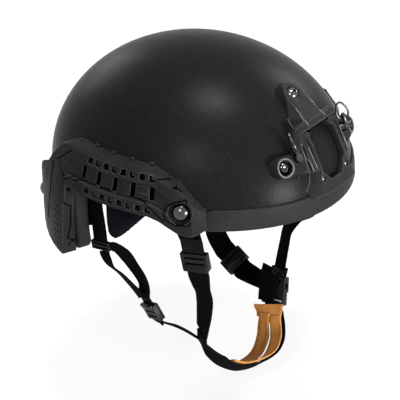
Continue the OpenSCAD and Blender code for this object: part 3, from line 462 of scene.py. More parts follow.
# Looks: the record's material slot and the material
SHELL = ("shell", shell_coating())
TRIM = ("trim_rubber", grained(
    "trim_rubber", (0.01, 0.01, 0.0104), (0.016, 0.016, 0.0164), 0.5, 500, 0.12, 0.0002, specular=0.04))
# The rails carry wear and a painted highlight along raised edges, and painted shade in their corners
RAIL = ("rail_polymer", grained(
    "rail_plastic", (0.01, 0.01, 0.0102), (0.017, 0.017, 0.0173), 0.42, 900, 0.3, 0.0002, specular=0.015,
    edge_wear_and_highlight=(0.085, 0.085, 0.086)))
# A pale copy of the rail plastic: wear and a painted highlight along crests and rims
WORN_HIGHLIT_EDGE = ("rail_polymer", grained(
    "worn_highlit_edge", (0.06, 0.06, 0.061), (0.11, 0.11, 0.112), 0.4, 900, 0.3, 0.0002, specular=0.3))
# Near-black: painted shadow laid along grooves and into holes
GROOVE_SHADOW = ("rail_polymer", grained(
    "painted_groove_shadow", (0.001, 0.001, 0.001), (0.002, 0.002, 0.002), 0.7, 900, 0.2, 0.0002, specular=0.01))
BOLT = ("bolt_steel", grained(
    "dark_chrome", (0.06, 0.06, 0.063), (0.12, 0.12, 0.125), 0.2, 300, 0.04, metallic=1.0))
HOOK_WIRE = ("hook_steel", grained(
    "hook_wire", (0.03, 0.03, 0.031), (0.09, 0.09, 0.093), 0.25, 500, 0.1, metallic=1.0))
ANCHOR = ("anchor_steel", grained(
    "anchor_paint", (0.012, 0.012, 0.013), (0.02, 0.02, 0.021), 0.4, 600, 0.15, specular=0.3))
# The buckles carry wear and a painted highlight along raised edges, and painted shade in their corners
BUCKLE = ("buckle_polymer", grained(
    "buckle_plastic", (0.004, 0.004, 0.0043), (0.008, 0.008, 0.0083), 0.4, 1100, 0.18, specular=0.08,
    edge_wear_and_highlight=(0.04, 0.04, 0.041)))
WEBBING = ("webbing", woven("black_webbing", (0.0013, 0.0013, 0.0015), (0.0032, 0.0032, 0.0036)))
RIBBED_WEBBING = ("webbing", woven("ribbed_webbing", (0.006, 0.006, 0.0065), (0.014, 0.014, 0.015), 0.0021))
THREAD = ("webbing", grained(
    "sewing_thread", (0.012, 0.012, 0.013), (0.022, 0.022, 0.023), 0.7, 1500, 0.3, specular=0.15))
LEATHER_THREAD = ("leather", grained(
    "leather_thread", (0.09, 0.035, 0.008), (0.14, 0.055, 0.013), 0.7, 1500, 0.3, specular=0.15))
LEATHER = ("leather", leather_finish())
PAD_CLOTH = ("pad_cloth", pad_fabric("pad_cloth", (0.0025, 0.0025, 0.004), (0.006, 0.006, 0.009)))
HOOK_TAPE = ("hook_tape", pad_fabric("hook_tape", (0.004, 0.004, 0.0045), (0.009, 0.009, 0.0095)))


# Shell: one skin from the crown inside, round the rim and back to the crown outside
def shell_place(u, v):
    a, z = RIM[round(u * len(RIM)) % len(RIM)]
    o = 0 if v >= 0.5 else -WALL
    h = CROWN + o
    low = asin(z / h) if z > 0 else z / h
    w = mix(low, pi / 2, abs(v - 0.5) * 2)
    return skin(a, h * sin(w) if w > 0 else w * h, o)


finish_piece("shell_laminate", sweep(len(RIM), 91, shell_place), SHELL, ["shell"], 50)


# Rubber trim: a channel round the rim, with a tall band at the brow
def rim_turn(i):
    """Direction away from the rim's edge on the skin, as way round and height."""
    (a0, z0), (a1, z1) = RIM[(i - 1) % len(RIM)], RIM[(i + 1) % len(RIM)]
    da = (a1 - a0 + 180) % 360 - 180
    return Vector((-(z1 - z0), da * MM_PER_DEG)).normalized()


BROW_BAND, SIDE_BAND = 17, 9.5


def trim_section(i):
    """Outline of the channel as height over the rim and offset from the skin."""
    a = RIM[i][0]
    f = mix(BROW_BAND, SIDE_BAND, ramp(360 - a if a > 180 else a, 55, 60))
    w = WALL + 0.75
    t = TRIM_T
    return [
        (f, 0.25), (f + 0.1, t * 0.45), (f - 0.3, t * 0.85), (f - 1.1, t), (f - 4, t), (f / 2, t), (3, t), (0.6, t),
        (-0.9, t - 0.4), (-1.7, t - 1.2), (-2, 0), (-2.05, -w * 0.33), (-2.05, -w * 0.66), (-2, -w), (-1.6, -w - 1.2),
        (-0.8, -w - 1.8), (0.6, -w - 2), (4, -w - 2), (7, -w - 2), (7.8, -w - 1.7), (8, -w - 1), (8, -w), (4, -w),
        (-0.25, -w), (-0.25, -w / 2), (-0.25, 0.25), (f / 2, 0.25)
    ]


def trim_place(u, v):
    i = round(v * len(RIM)) % len(RIM)
    section = trim_section(i)
    h, o = section[round(u * len(section)) % len(section)]
    d, (a, z) = rim_turn(i), RIM[i]
    return skin(a + d.x * h / MM_PER_DEG, z + d.y * h, o)


finish_piece("rubber_trim", sweep(len(trim_section(0)), len(RIM), trim_place), TRIM, ["edge_trim"], 60)

# Rigid nodes: node, name, rounding in millimetres, look and body; a blank stands for each side in turn
ROUNDED = [
    ("rail_{}", "rail_moulding_{}", 0.6, RAIL, "helmet"),
    ("shroud_frame", "shroud_casting", 0.6, RAIL, "helmet"),
    ("front_adjuster_{}", "front_lock_moulding_{}", 0.35, BUCKLE, "front_lock_{}"),
    ("rear_adjuster_{}", "rear_lock_moulding_{}", 0.35, BUCKLE, "rear_lock_{}"),
    ("rear_slider_{}", "slider_moulding_{}", 0.35, BUCKLE, "helmet"),
    ("buckle_socket", "buckle_socket_moulding", 0.6, BUCKLE, "helmet"),
    ("buckle_plug", "buckle_plug_moulding", 0.5, BUCKLE, "chin_assembly"),
    ("strap_anchors", "anchor_tabs", 0.3, ANCHOR, "helmet"),
    ("rail_nuts", "rail_nut_set", 0.25, BOLT, "helmet"),
    ("shroud_nuts", "shroud_nut_set", 0.25, BOLT, "helmet")
]
for node, name, width, look, body in ROUNDED:
    for side in SIDES if "{}" in node else [""]:
        copied = node.format(side)
        finish_piece(name.format(side), node_copy(copied, width), look, [copied], body=body.format(side))

# Bolts, each placed by plan angle and height, or by how far it is across the front and its latitude
front_bolt, rear_bolt = (64.6, 18.2), (142, -26)


def bolt_mesh(head_d, length, shank_d, socket):
    """A domed bolt with its head's seat at zero, and a six-sided socket of this radius unless it is zero."""
    r = head_d / 2
    rise = r * 0.62
    ball = (r * r + rise * rise) / (2 * rise)

    def dome(x):
        return rise - ball + sqrt(ball * ball - x * x)

    lip = dome(socket)
    profile = [
        (0, -length), (shank_d / 2 - 0.3, -length), (shank_d / 2, 0.3 - length), (shank_d / 2, -0.01),
        (r - 0.1, -0.01), (r, 0.15)
    ]
    profile += [(x, dome(x)) for x in [r * k / 10 for k in range(10, 0, -1)] if x > socket + 0.25]
    if socket:
        profile += [(socket + 0.18, lip - 0.03), (socket, lip - 0.25), (socket, lip - 1.9), (0, lip - 2.3)]
    else:
        profile.append((0, rise))
    return lathe_mesh(profile, 36, socket)


def front_place(x, latitude, off, tilt, turn=0):
    """Place on the shell's front, tipped back from the vertical by tilt and turned outwards by turn."""
    reach = sqrt(cos(radians(latitude)) ** 2 - (x / HALF_W) ** 2)
    at = Vector((x, -HALF_L * reach - off, CROWN * sin(radians(latitude))))
    return Matrix.Translation(at) @ turned(turn, "Z") @ turned(tilt, "X")


def bolt_set(name, parts, node):
    finish_piece(name, join_meshes(parts), BOLT, [node], 32)


rail_bolt_parts = []
for bolt, seat, head_d, length in ((front_bolt, 9.5, 15, 28.1), (rear_bolt, 8.5, 14, 26.1)):
    place = surface_frame(*bolt, seat)
    rail_bolt_parts += [(bolt_mesh(head_d, length, 5, 0), turn @ place) for turn in (STILL, FLIP)]
bolt_set("rail_bolt_set", rail_bolt_parts, "rail_bolts")
ear_bolt_place = front_place(49.5, 24.9, 5.5, 68, 28)
shroud_bolt_places = [front_place(0, 52.3, 8.9, 38), ear_bolt_place, FLIP @ ear_bolt_place]
bolt_set("shroud_bolt_set", [(bolt_mesh(11, 22, 4, 1.9), place) for place in shroud_bolt_places], "shroud_bolts")
SHROUD = front_place(0, 37.6, 8.5, 63)
SHROUD_OUT = SHROUD.col[2].to_3d()
screw_places = [SHROUD @ Matrix.Translation((x, -43.3, -1.7)) for x in (-17.8, 17.8)]
bolt_set("shroud_screw_pair", [(bolt_mesh(5, 3.6, 2.96, 1.0), place) for place in screw_places], "shroud_screws")


# Ridges and lugs moulded into the rails and the shroud, with painted shadow along the grooves and dark blocks of
# painted shade in the rails' holes and dimples
def surface_tree(node):
    bm = node_copy(node)
    tree = BVHTree.FromBMesh(bm)
    bm.free()
    return tree


rail_tree, shroud_tree = surface_tree("rail_right"), surface_tree("shroud_frame")


def drop_onto(tree, start, heading, miss):
    """Where a ray from a point in millimetres meets a surface, or a stand-in where it misses."""
    hit = tree.ray_cast(start / 1000, heading)[0]
    return hit * 1000 if hit else miss


def on_rail(a, z):
    out = skin_out(a, z)
    return drop_onto(rail_tree, skin(a, z) + out * 30, -out, skin(a, z, 9.5))


def on_shroud(x, y):
    start = SHROUD @ Vector((x, y, 30))
    return drop_onto(shroud_tree, start, -SHROUD_OUT, start - SHROUD_OUT * 30)


def traced(corners, surface, across, step=1.4):
    """Corners joined on a surface; across scales the first figure to millimetres."""
    line = []
    for (a0, z0), (a1, z1) in zip(corners, corners[1:]):
        count = max(1, round(hypot((a1 - a0) * across, z1 - z0) / step))
        line += [surface(mix(a0, a1, k / count), mix(z0, z1, k / count)) for k in range(count)]
    return line + [surface(*corners[-1])]


def surface_lines(corner_sets, surface, across, radius, sink, out_at):
    """Thin rods that lie half sunk along lines on a surface."""
    parts = []
    for corners in corner_sets:
        out = out_at(*corners[len(corners) // 2])
        line = [p - out * sink for p in traced(corners, surface, across)]
        parts.append(rod_part(line, radius, out, around=8))
    return parts


def rail_boss(a, z, size, turn, sink, edge=0.3):
    """A small block seated on the rail's face."""
    place = surface_frame(a, z, 0)
    place.translation = on_rail(a, z) - skin_out(a, z) * sink
    return block_mesh(size, edge), place @ turned(turn, "Z")


# Lines as plan angle and height
RAIL_GROOVES = [
    [(119.5, 25.8), (115, 33.6), (110.8, 40.4)], [(117, 25.2), (114.3, 21.6), (111.6, 16.4), (106.8, 23)],
    [(122.1, 21.6), (121.5, 8.9), (122.5, -3.1), (125.5, -20), (128.5, -37)],
    [(112.2, 1), (111.9, -5), (112.9, -27), (114.2, -50)],
    [(106.5, 20.9), (103.2, 23), (96.5, 24.9), (89, 25), (81.5, 24.3), (76.6, 22.7), (73.5, 17.7), (69.8, 10.5)],
    [(62.6, 28.8), (66.4, 26.2), (69.2, 22.6), (70, 17), (69.2, 12), (66.2, 9), (61.2, 9.6), (62.6, 28.8)],
    [(66.4, 37.6), (64.2, 33.6)], [(76, 39), (72.5, 40.6), (69.2, 41.6)]
]
RAIL_RIDGES = [
    [(118.9, 10), (113.4, 2)], [(79.8, 34), (76.2, 34.2), (76.2, 28.6), (79.8, 28.5)],
    [(121, 21), (120.4, 8), (119.8, -6)]
]
DIMPLES = [(116.7 + 0.14 * k * (1 + 0.04 * k), -12 - 6.2 * k) for k in range(7)]
LUG_ANGLES = (77.4, 86, 94.8, 103.6)


def rail_details(side):
    turn = STILL if side == "right" else FLIP
    grooves = surface_lines(RAIL_GROOVES, on_rail, MM_PER_DEG, 0.75, 0.35, skin_out)
    # Painted shadow in the grooves, and dark blocks of painted shade in the holes and dimples
    grooves += [rail_boss(110.6, 9.6, (6.4, 4, 1), 35, 0.3), rail_boss(66.6, 35.6, (4, 3.4, 1), 12, 0.3)]
    grooves += [rail_boss(a + shift, z, (1.9, 2.6, 0.7), 25, 0.2, 0.25) for a, z in DIMPLES for shift in (0, 2.1)]
    ridges = surface_lines(RAIL_RIDGES, on_rail, MM_PER_DEG, 0.4, 0.15, skin_out)
    lugs = [(block_mesh((3.6, 1.8, 1)), surface_frame(a, 50.6, 2.2)) for a in LUG_ANGLES]
    groups = ("groove_shadow_lines", grooves, GROOVE_SHADOW), ("ridges", ridges, RAIL), ("deck_lugs", lugs, RAIL)
    for name, parts, look in groups:
        finish_piece("rail_" + name + "_" + side, join_meshes([(bm, turn @ place) for bm, place in parts]), look)


for side in SIDES:
    rail_details(side)


def both(corner_sets):
    return corner_sets + [[(-x, y) for x, y in corners] for corners in corner_sets]


# Lines in millimetres across and up the shroud's face
SHROUD_GROOVES = both([
    [(21.9, -6.4), (22.7, -21.2), (23.4, -33)], [(14.5, -1.9), (17.5, -3.4)]
]) + [[(-16, -2.6), (-6, -1.9), (6, -1.9), (16, -2.6)]]
SHROUD_CRESTS = both([
    [(28.8, -7.4), (27.6, -20.4), (27, -33.2)], [(24.6, -13), (24.2, -24.4), (23.6, -34.3)],
    [(11.3, 18.9), (11.6, 10.3), (12.9, 2)]
])
# Painted shadow along the shroud's grooves, and wear and a painted highlight along its crests
for name, corner_sets, radius, sink, look in (
    ("shroud_groove_shadow_lines", SHROUD_GROOVES, 0.7, 0.3, GROOVE_SHADOW), ("shroud_crests", SHROUD_CRESTS, 0.5, 0.1, WORN_HIGHLIT_EDGE)
):
    lines = surface_lines(corner_sets, on_shroud, 1, radius, sink, lambda x, y: SHROUD_OUT)
    finish_piece(name, join_meshes(lines), look)
# Pale rims round the ear bolts, with wear and a painted highlight
EAR_RIM_R = 7.6
ear_rims = []
for place in shroud_bolt_places[1:]:
    heading = -place.col[2].to_3d()
    starts = [place @ Vector((EAR_RIM_R * cos(t), EAR_RIM_R * sin(t), 20)) for t in map(radians, range(0, 360, 15))]
    ring = [drop_onto(shroud_tree, start, heading, start + heading * 19) for start in starts]
    ear_rims.append(rod_part(ring, 0.7, heading, closed=True))
finish_piece("shroud_ear_rims", join_meshes(ear_rims), WORN_HIGHLIT_EDGE)

# Lanyard hooks: a sprung eye coiled round the pin, a crimped sleeve, a long wire loop and its gate
HOOK_X, HOOK_TILT = 33.5, 43
COIL_TURN = radians(1170)
HOOK = (
    SHROUD @ Matrix.Translation((HOOK_X, -16.5, -(HOOK_X - 27.5) * 0.9325))
    @ turned(HOOK_TILT, "Y") @ Matrix.Translation((0, 0, 6.4))
)
SLEEVE = [
    (0, 2.2), (1.5, 2.2), (1.9, 2.6), (1.9, 3.4), (1.5, 3.7), (1.5, 4.4), (2, 4.7), (2, 10.6), (1.4, 11.6), (0, 11.8)
]
PIN = [
    (0, -9.2), (1.3, -9.2), (1.5, -9), (1.5, -6.3), (2.75, -6.3), (2.75, -2.95), (1.5, -2.9), (1.5, 2.8), (2.75, 2.8),
    (2.75, 3.7), (2.3, 4.2), (0, 4.2)
]


def hook_parts(place):
    coil = [Vector((2.6 * sin(t), -2.6 * cos(t), -1.8 + 3.6 * t / COIL_TURN)) for t in map(radians, range(0, 1171, 30))]
    loop = [Vector((0, 14 + 8 * cos(t), 5 * sin(t) * (1 - 0.25 * cos(t)))) for t in map(radians, range(-160, 161, 8))]
    gate = [Vector((0, 6.4 + k * 3.1, -3.4 + 0.15 * k)) for k in range(5)]
    return [
        rod_part(coil, 0.62, (0, 0, 1), place), rod_part(loop, 0.95, (1, 0, 0), place),
        (lathe_mesh(SLEEVE, 20), place @ turned(-90, "X")),
        rod_part(gate, 0.5, (1, 0, 0), place)
    ]


for side, turn, at in (("right", -3, FLIP @ HOOK), ("left", 14, HOOK)):
    snap = join_meshes(hook_parts(at @ turned(turn, "Z")))
    finish_piece("lanyard_snap_" + side, snap, HOOK_WIRE, ["lanyard_hook_" + side], 50, "hook_" + side)
    rivet = join_meshes([(lathe_mesh(PIN, 24), at)])
    finish_piece("lanyard_rivet_" + side, rivet, HOOK_WIRE, ["lanyard_pin_" + side])

# Hook tape discs glued inside the shell
DISC_BACK, DISC_T = 8.85, 2.6


def disc_mesh(radius, place):
    """A disc laid by a place from its own X and Y and how far it is inside the skin."""
    bm = bmesh.new()
    bmesh.ops.create_circle(bm, cap_ends=True, segments=32, radius=radius)
    bmesh.ops.inset_region(bm, faces=bm.faces, thickness=0.8)
    top = bmesh.ops.extrude_face_region(bm, geom=list(bm.faces))
    raised = {v for v in top["geom"] if isinstance(v, bmesh.types.BMVert)}
    split_polygons(bm)
    bmesh.ops.subdivide_edges(bm, edges=[e for e in bm.edges if e.calc_length() > 6], cuts=2, use_grid_fill=True)
    for vert in bm.verts:
        vert.co = place(vert.co.x, vert.co.y, DISC_BACK + (DISC_T if vert in raised else 0))
    bmesh.ops.recalc_face_normals(bm, faces=bm.faces)
    return bm


def under_crown(x, y, inner):
    """Point below the crown, as far inside the skin as inner says."""
    return Vector((x, y, (CROWN - inner) * sqrt(1 - (x / (HALF_W - inner)) ** 2 - (y / (HALF_L - inner)) ** 2)))


disc_parts = [
    (disc_mesh(12, lambda x, y, inner: skin(a + x / MM_PER_DEG, z + y, -inner)), turn)
    for a, z in ((83, 35), (96, 35), (50, 50), (124.5, -8), (9, 44), (171, 10)) for turn in (STILL, FLIP)
]
disc_parts.append((disc_mesh(24, under_crown), STILL))
finish_piece("hook_tape_discs", join_meshes(disc_parts), HOOK_TAPE, ["hook_discs"])


# Webbing and leather bands: a route's stations each have a point, the direction across the band, and its width
def route(*stations):
    return [(Vector(p), Vector(w).normalized(), width) for p, w, width in stations]


def along_line(at, direction, distances, w, width):
    """Stations on a straight run."""
    return [(at + direction * s, w, width) for s in distances]


def on_side(side, stations):
    """A route drawn for the wearer's right, mirrored for the left."""
    if side == "right":
        return stations
    return [(Vector((-p.x, p.y, p.z)), Vector((-w.x, w.y, w.z)), width) for p, w, width in stations]


def spline(a, b, c, d, t):
    return 0.5 * (2 * b + (c - a) * t + (2 * a - 5 * b + 4 * c - d) * t * t + (3 * b - a - 3 * c + d) * t ** 3)


def route_point(stations, v):
    spans = len(stations) - 1
    i = min(spans - 1, int(v * spans))
    t = v * spans - i
    a, b, c, d = stations[max(0, i - 1)], stations[i], stations[i + 1], stations[min(spans, i + 2)]
    return spline(a[0], b[0], c[0], d[0], t), mix(b[1], c[1], t).normalized(), mix(b[2], c[2], t)


def route_frame(stations, v, reach):
    """Point, direction across, direction along, direction out of the face, and width at a share of the route."""
    p, w, width = route_point(stations, v)
    ahead, behind = route_point(stations, min(1, v + reach))[0], route_point(stations, max(0, v - reach))[0]
    along = (ahead - behind).normalized()
    face = along.cross(w).normalized()
    return p, face.cross(along), along, face, width


def rounded_off(value, power):
    return abs(value) ** power * (1 if value > 0 else -1)


STRAP_T, ROWS_PER_SPAN, ROUND_SIDE, ROUND_FACE = 1.8, 6, 0.4, 0.55


def strap(name, stations, replaces=(), look=WEBBING, body="helmet", thick=STRAP_T, lift=0.0):
    """A flat band with rounded selvedges that follows its stations."""
    count = (len(stations) - 1) * ROWS_PER_SPAN
    rows = []
    travelled = 0
    last = None
    for k in range(count + 1):
        p, side, _, face, width = route_frame(stations, k / count, 0.3 / count)
        travelled += (p - last).length if last else 0
        last = p
        rows.append((p + face * lift, side, face, width, travelled))

    def place(u, v):
        p, side, face, width, _ = rows[round(v * count)]
        x, y = rounded_off(cos(2 * pi * u), ROUND_SIDE), rounded_off(sin(2 * pi * u), ROUND_FACE)
        return p + side * x * width / 2 + face * y * thick / 2

    def uv_place(u, v):
        _, _, _, width, far = rows[round(v * count)]
        return rounded_off(cos(2 * pi * u), ROUND_SIDE) * width / 2000, far / 1000

    return finish_piece(name, sweep(28, count, place, uv_place, fill=True), look, replaces, 60, body)


# Front straps, from the anchors through the ladder locks to the sewn junctions
lock_at = skin(front_bolt[0], 0) + Vector((18.6, 0.4, -38.5))
lock_dir, front_w = unit(0.15, -0.1, -0.98), (0.2, -1, 0.05)
anchor_w = skin_turn(*front_bolt, 90)
front_top = [(below(front_bolt, down, depth), anchor_w, 20) for down, depth in [(14.6, 13), (17.6, 16.2), (23, 18.2)]]
front_top += along_line(lock_at, lock_dir, (-19, -15, 0, 12, 17), front_w, 20)
FRONT_ENDS = {
    "right": [
        (lock_at + lock_dir * 27, (-0.05, -1, 0.05), 20), ((-84, -62, -76), (-0.17, -1, 0.05), 20),
        ((-78, -58, -93), (-0.3, -0.95, 0.05), 20), ((-72.5, -53, -109), (-0.4, -0.9, 0.1), 20),
        ((-68.5, -49, -124), (-0.5, -0.85, 0.15), 20)
    ],
    "left": [
        (lock_at + lock_dir * 27, front_w, 20), ((-87, -50, -76), (0.55, -0.83, 0.05), 20),
        ((-84, -40.5, -93), (0.6, -0.8, 0.05), 20), ((-78.5, -40, -108), (0.55, -0.8, 0.1), 20),
        ((-68.6, -41.8, -129.5), (0.5, -0.85, 0.15), 20)
    ]
}
for side in SIDES:
    strap("front_webbing_" + side, on_side(side, route(*front_top, *FRONT_ENDS[side])), ["front_strap_" + side])
# Doubled tails over the front locks, which carry them along the webbing
front_tail = route(*along_line(lock_at, lock_dir, (-24, -20, -15, -9.5), front_w, 19.4))
for side, out in (("right", 1.7), ("left", -1.7)):
    strap("front_tail_" + side, on_side(side, front_tail), (), RIBBED_WEBBING, "front_lock_" + side, 1.6, out)

# Rear straps: a hanger on the wall from the rear anchor, and a drop to the slider
NARROW = 15
rear_drop = skin(106.8, 0)
slider_at, slider_dir = rear_drop + Vector((20.8, -1.2, -53)), unit(0.05, -0.1, -1)


def on_wall(a, z, t, depth=10.6):
    return (skin(a, z, -depth), skin_turn(a, z, t), NARROW)


HANGER_LOOP = [(24.5, 14.9), (19.5, 14.8), (16.8, 14), (16.3, 12.8), (16.8, 11.4), (20, 10.2)]
hanger = [(below(rear_bolt, -up, depth), skin_turn(*rear_bolt, 90), NARROW) for up, depth in HANGER_LOOP]
hanger += [
    on_wall(141.5, 1, 80), on_wall(138, 12, 60, 10.9), on_wall(131, 23, 35, 10.9), on_wall(122, 29, 12),
    on_wall(113, 30, 0), on_wall(103.7, 30, 0)
]
drop = [on_wall(106.8, z, -90, depth) for z, depth in ((37, 10.6), (26, 11.4), (18, 12.9), (8, 13))]
drop += [
    (rear_drop + Vector((14.2, -2.2, -8)), (0.15, 1, 0), NARROW),
    (rear_drop + Vector((17.8, -1.2, -30)), (0, 1, 0), NARROW), (slider_at - slider_dir * 5.2, (0, 1, -0.1), NARROW)
]
for side in SIDES:
    strap("rear_hanger_" + side, on_side(side, route(*hanger)))
    strap("rear_drop_" + side, on_side(side, route(*drop)), ["rear_strap_" + side])

# Jaw straps, from the sliders through the rear ladder locks to the sewn junctions
rear_lock, rear_dir = Vector((-80.1, -4.5, -112.9)), unit(0.23, -0.38, -0.9)
rear_w, jaw_end_w = (0.3, 0.92, -0.3), (0.74, 0.5, -0.43)
jaw_front = route(
    (slider_at + Vector((0.4, -10.3, 1.2)), (0.05, 0.6, -0.8), 8), ((-95.5, 22.8, -51), (0.13, 0.45, -0.89), 12),
    ((-94.5, 13.7, -55.8), (0.05, 0.55, -0.83), NARROW), ((-92.5, 7, -65.1), (0.17, 0.67, -0.72), NARROW),
    ((-89.5, 1.6, -75.6), (0.25, 0.7, -0.68), NARROW), ((-86.5, -0.1, -86.5), (0.33, 0.82, -0.5), NARROW),
    *along_line(rear_lock, rear_dir, (-17, -13, -2, 9.4, 11.8), rear_w, NARROW),
    ((-75.6, -16.5, -124), (0.6, 0.65, -0.45), 12), ((-74, -24.7, -124.5), jaw_end_w, 13),
    ((-70.3, -33.2, -128.4), jaw_end_w, 13), ((-66.0, -43.6, -134.8), jaw_end_w, 10)
)
jaw_rear = route(
    (slider_at + Vector((0.6, -2.5, -5.6)), (0, 1, -0.05), 11),
    (slider_at + Vector((0.6, -4, -10.5)), (0.1, 1, -0.05), 12), ((-95, 28.8, -71.5), (0.3, 0.9, 0), 13),
    ((-92, 20.4, -78.5), (0.5, 0.75, -0.4), NARROW), ((-88, 10.3, -90), (0.4, 0.85, -0.35), NARROW),
    (rear_lock + rear_dir * -17 + Vector((-2.6, 0.6, 0)), rear_w, NARROW)
)
left_lock, left_dir = Vector((80, 16.5, -145)), unit(-0.26, -0.9, -0.34)
jaw_left = route(
    (Vector((-slider_at.x + 1, slider_at.y - 0.1, slider_at.z - 5.8)), (0, 1, -0.1), NARROW),
    ((98, 39.5, -70), (0, 1, -0.1), 16), ((99.5, 45, -92), (-0.35, 0.85, -0.3), 19),
    ((97, 49.5, -113), (-0.55, 0.6, -0.55), 20), ((92, 47, -129), (-0.63, 0.35, -0.7), 20),
    *along_line(left_lock, left_dir, (-18, -14, -3, 10, 14), (-0.63, 0.29, -0.72), 20),
    ((74.5, -9, -151), (-0.6, 0.25, -0.75), 18), ((70.5, -22, -150), (-0.55, 0.2, -0.8), 16)
)
strap("jaw_webbing_front_right", jaw_front, ["jaw_strap_right"])
strap("jaw_webbing_rear_right", jaw_rear)
strap("jaw_webbing_left", jaw_left, ["jaw_strap_left"])

# Sewn junctions: middle, direction down, direction across
JUNCTIONS = {
    "right": (Vector((-67, -48, -131)), unit(0.2, 0.1, -1), (-0.5, -0.85, 0.15)),
    "left": (Vector((66, -43, -130)), unit(-0.2, 0.1, -1), (0.5, -0.85, 0.15))
}
for side, (at, down, w) in JUNCTIONS.items():
    stood_for = ["jaw_junctions"] if side == "right" else ()
    strap("junction_sewn_" + side, route(*along_line(at, down, (-4, -2, 0, 2, 4), w, 15.5)), stood_for, thick=3.6)
strap("buckle_flap", route(
    ((64.5, -36, -128), (0, -1, 0.1), 21), ((62.4, -34, -140), (0, -1, 0.1), 20),
    ((59.6, -34, -152), (0, -1, 0.1), 18), ((57, -35, -161), (0, -1, 0.1), 18)
))

# Chin strap: it stays at the right junction and ends in a turned-back tail
buckle_top, buckle_dir = Vector((69, -37, -138.5)), unit(-0.235, -0.12, -0.965)
buckle_w = (0, -1, 0.12)
junction_at, junction_dir, junction_w = JUNCTIONS["right"]


def under_chin(*widths):
    """The stations that the strap and the front leather band share."""
    points = (-33, -51, -177), (-14, -55, -190), (8, -59, -196), (25, -62, -194)
    across = (0, -0.85, 0.5), (0, -0.75, 0.65), (0, -0.72, 0.69), (0, -0.82, 0.57)
    return zip(points, across, widths)


chin = route(
    (junction_at + junction_dir * 5.4, junction_w, 17), ((-59.5, -49.5, -146), (-0.3, -0.93, 0.2), 18),
    ((-49, -50.5, -160), (0, -0.93, 0.36), 20), *under_chin(19, 17, 15, 15), ((38, -61, -186), (0, -0.93, 0.36), 15),
    ((46.5, -55.5, -177), (0.05, -1, 0.15), 15), ((53, -48.5, -171), (0, -1, 0.05), 16),
    *along_line(buckle_top, buckle_dir, (33.4, 29.4), buckle_w, 17)
)
tail = route(*along_line(buckle_top + Vector((-3.2, 0, 0.8)), buckle_dir, (37, 33, 28, 23), buckle_w, 16))
strap("chin_tail", tail, body="chin_assembly")
chin_webbing = strap("chin_webbing", chin, ["chin_strap"], body=None)
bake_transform(chin_webbing)

# Leather cup: two bands under the chin and a flap that joins them
cup_front = route(
    *under_chin(20, 18, 15, 14), ((37, -60.5, -185.5), (0, -0.93, 0.36), 13),
    ((45.5, -55, -177), (0.05, -1, 0.15), 12), ((50, -51, -168.5), (0, -1, 0.05), 12)
)
cup_rear = route(
    ((-31, -45.5, -177), (0, -0.9, 0.45), 8), ((-13, -43.5, -193.5), (0, -0.95, 0.3), 9),
    ((6, -46.5, -200), (0, -1, 0.15), 12), ((24, -47.5, -198.5), (0, -1, 0.1), 12.5),
    ((37.8, -45.5, -188.8), (0, -1, 0.1), 13.5), ((45.2, -41.5, -178.6), (0, -1, 0.1), 12),
    ((49.6, -40, -169), (0, -1, 0.1), 11)
)
cup_flap = route(
    ((48.8, -44, -174), (0, -1, 0.05), 25), ((50.4, -43.8, -170), (0, -1, 0.05), 26.5),
    ((51.9, -43, -166), (0, -1, 0), 28.5), ((53.4, -41.6, -162), (0, -1, -0.06), 31.5),
    ((53.9, -41.2, -160.8), (0, -1, -0.08), 31)
)
CUP_LIFT = -2.45
for name, stations, stood_for in (
    ("band_front", cup_front, ["chin_cup"]), ("band_rear", cup_rear, ()), ("flap", cup_flap, ())
):
    strap("leather_" + name, stations, stood_for, LEATHER, "chin_assembly", lift=CUP_LIFT)

# Thread: short stitches along lines on the webbing and leather
STITCH_L, STITCH_PITCH = 2.2, 3.0


def stitches(name, lines, look, body="helmet", radius=0.32):
    parts = []
    for start, end in lines:
        along = (end - start).normalized()
        for k in range(max(1, int((end - start).length / STITCH_PITCH))):
            bm = bmesh.new()
            bmesh.ops.create_icosphere(bm, subdivisions=1, radius=1)
            bmesh.ops.scale(bm, vec=(radius, radius, STITCH_L / 2), verts=bm.verts)
            at = start + along * STITCH_PITCH * (k + 0.5)
            parts.append((bm, Matrix.Translation(at) @ along.to_track_quat("Z", "Y").to_matrix().to_4x4()))
    finish_piece(name, join_meshes(parts), look, (), 60, body)


def box_stitch(centre, along, w, half_w, half_l, lift):
    """Lines of a sewn box with a cross in it, on both faces."""
    out = along.cross(Vector(w)).normalized()
    side = out.cross(along)
    lines = []
    for face in (lift, -lift):
        c = [
            centre + out * face + side * x + along * y
            for x, y in ((-half_w, -half_l), (half_w, -half_l), (half_w, half_l), (-half_w, half_l))
        ]
        lines += [(c[i], c[j]) for i, j in ((0, 1), (1, 2), (2, 3), (3, 0), (0, 2), (1, 3))]
    return lines


def band_line(stations, v0, v1, x0, x1, lift, count):
    """Short spans along a band, between two places on its length and across its width."""
    points = []
    for k in range(count + 1):
        p, side, _, face, _ = route_frame(stations, mix(v0, v1, k / count), 0.01)
        points.append(p + side * mix(x0, x1, k / count) + face * lift)
    return list(zip(points, points[1:]))


junction_lines = [line for junction in JUNCTIONS.values() for line in box_stitch(*junction, 5.8, 2.8, 1.85)]
stitches("junction_thread", junction_lines, THREAD)
LEATHER_FACE = CUP_LIFT - 0.95
leather_lines = band_line(cup_flap, 0.22, 0.22, -12.5, 12.5, LEATHER_FACE, 1)
for band, half in ((cup_front, 5), (cup_rear, 3.6)):
    for edge in (-half, half):
        leather_lines += band_line(band, 0.12, 0.86, edge, edge, LEATHER_FACE, 30)
stitches("leather_thread", leather_lines, LEATHER_THREAD, "chin_assembly", 0.28)
stitches("jaw_thread", box_stitch(rear_lock + rear_dir * -14, rear_dir, rear_w, 5.2, 1.6, 1.0), THREAD)


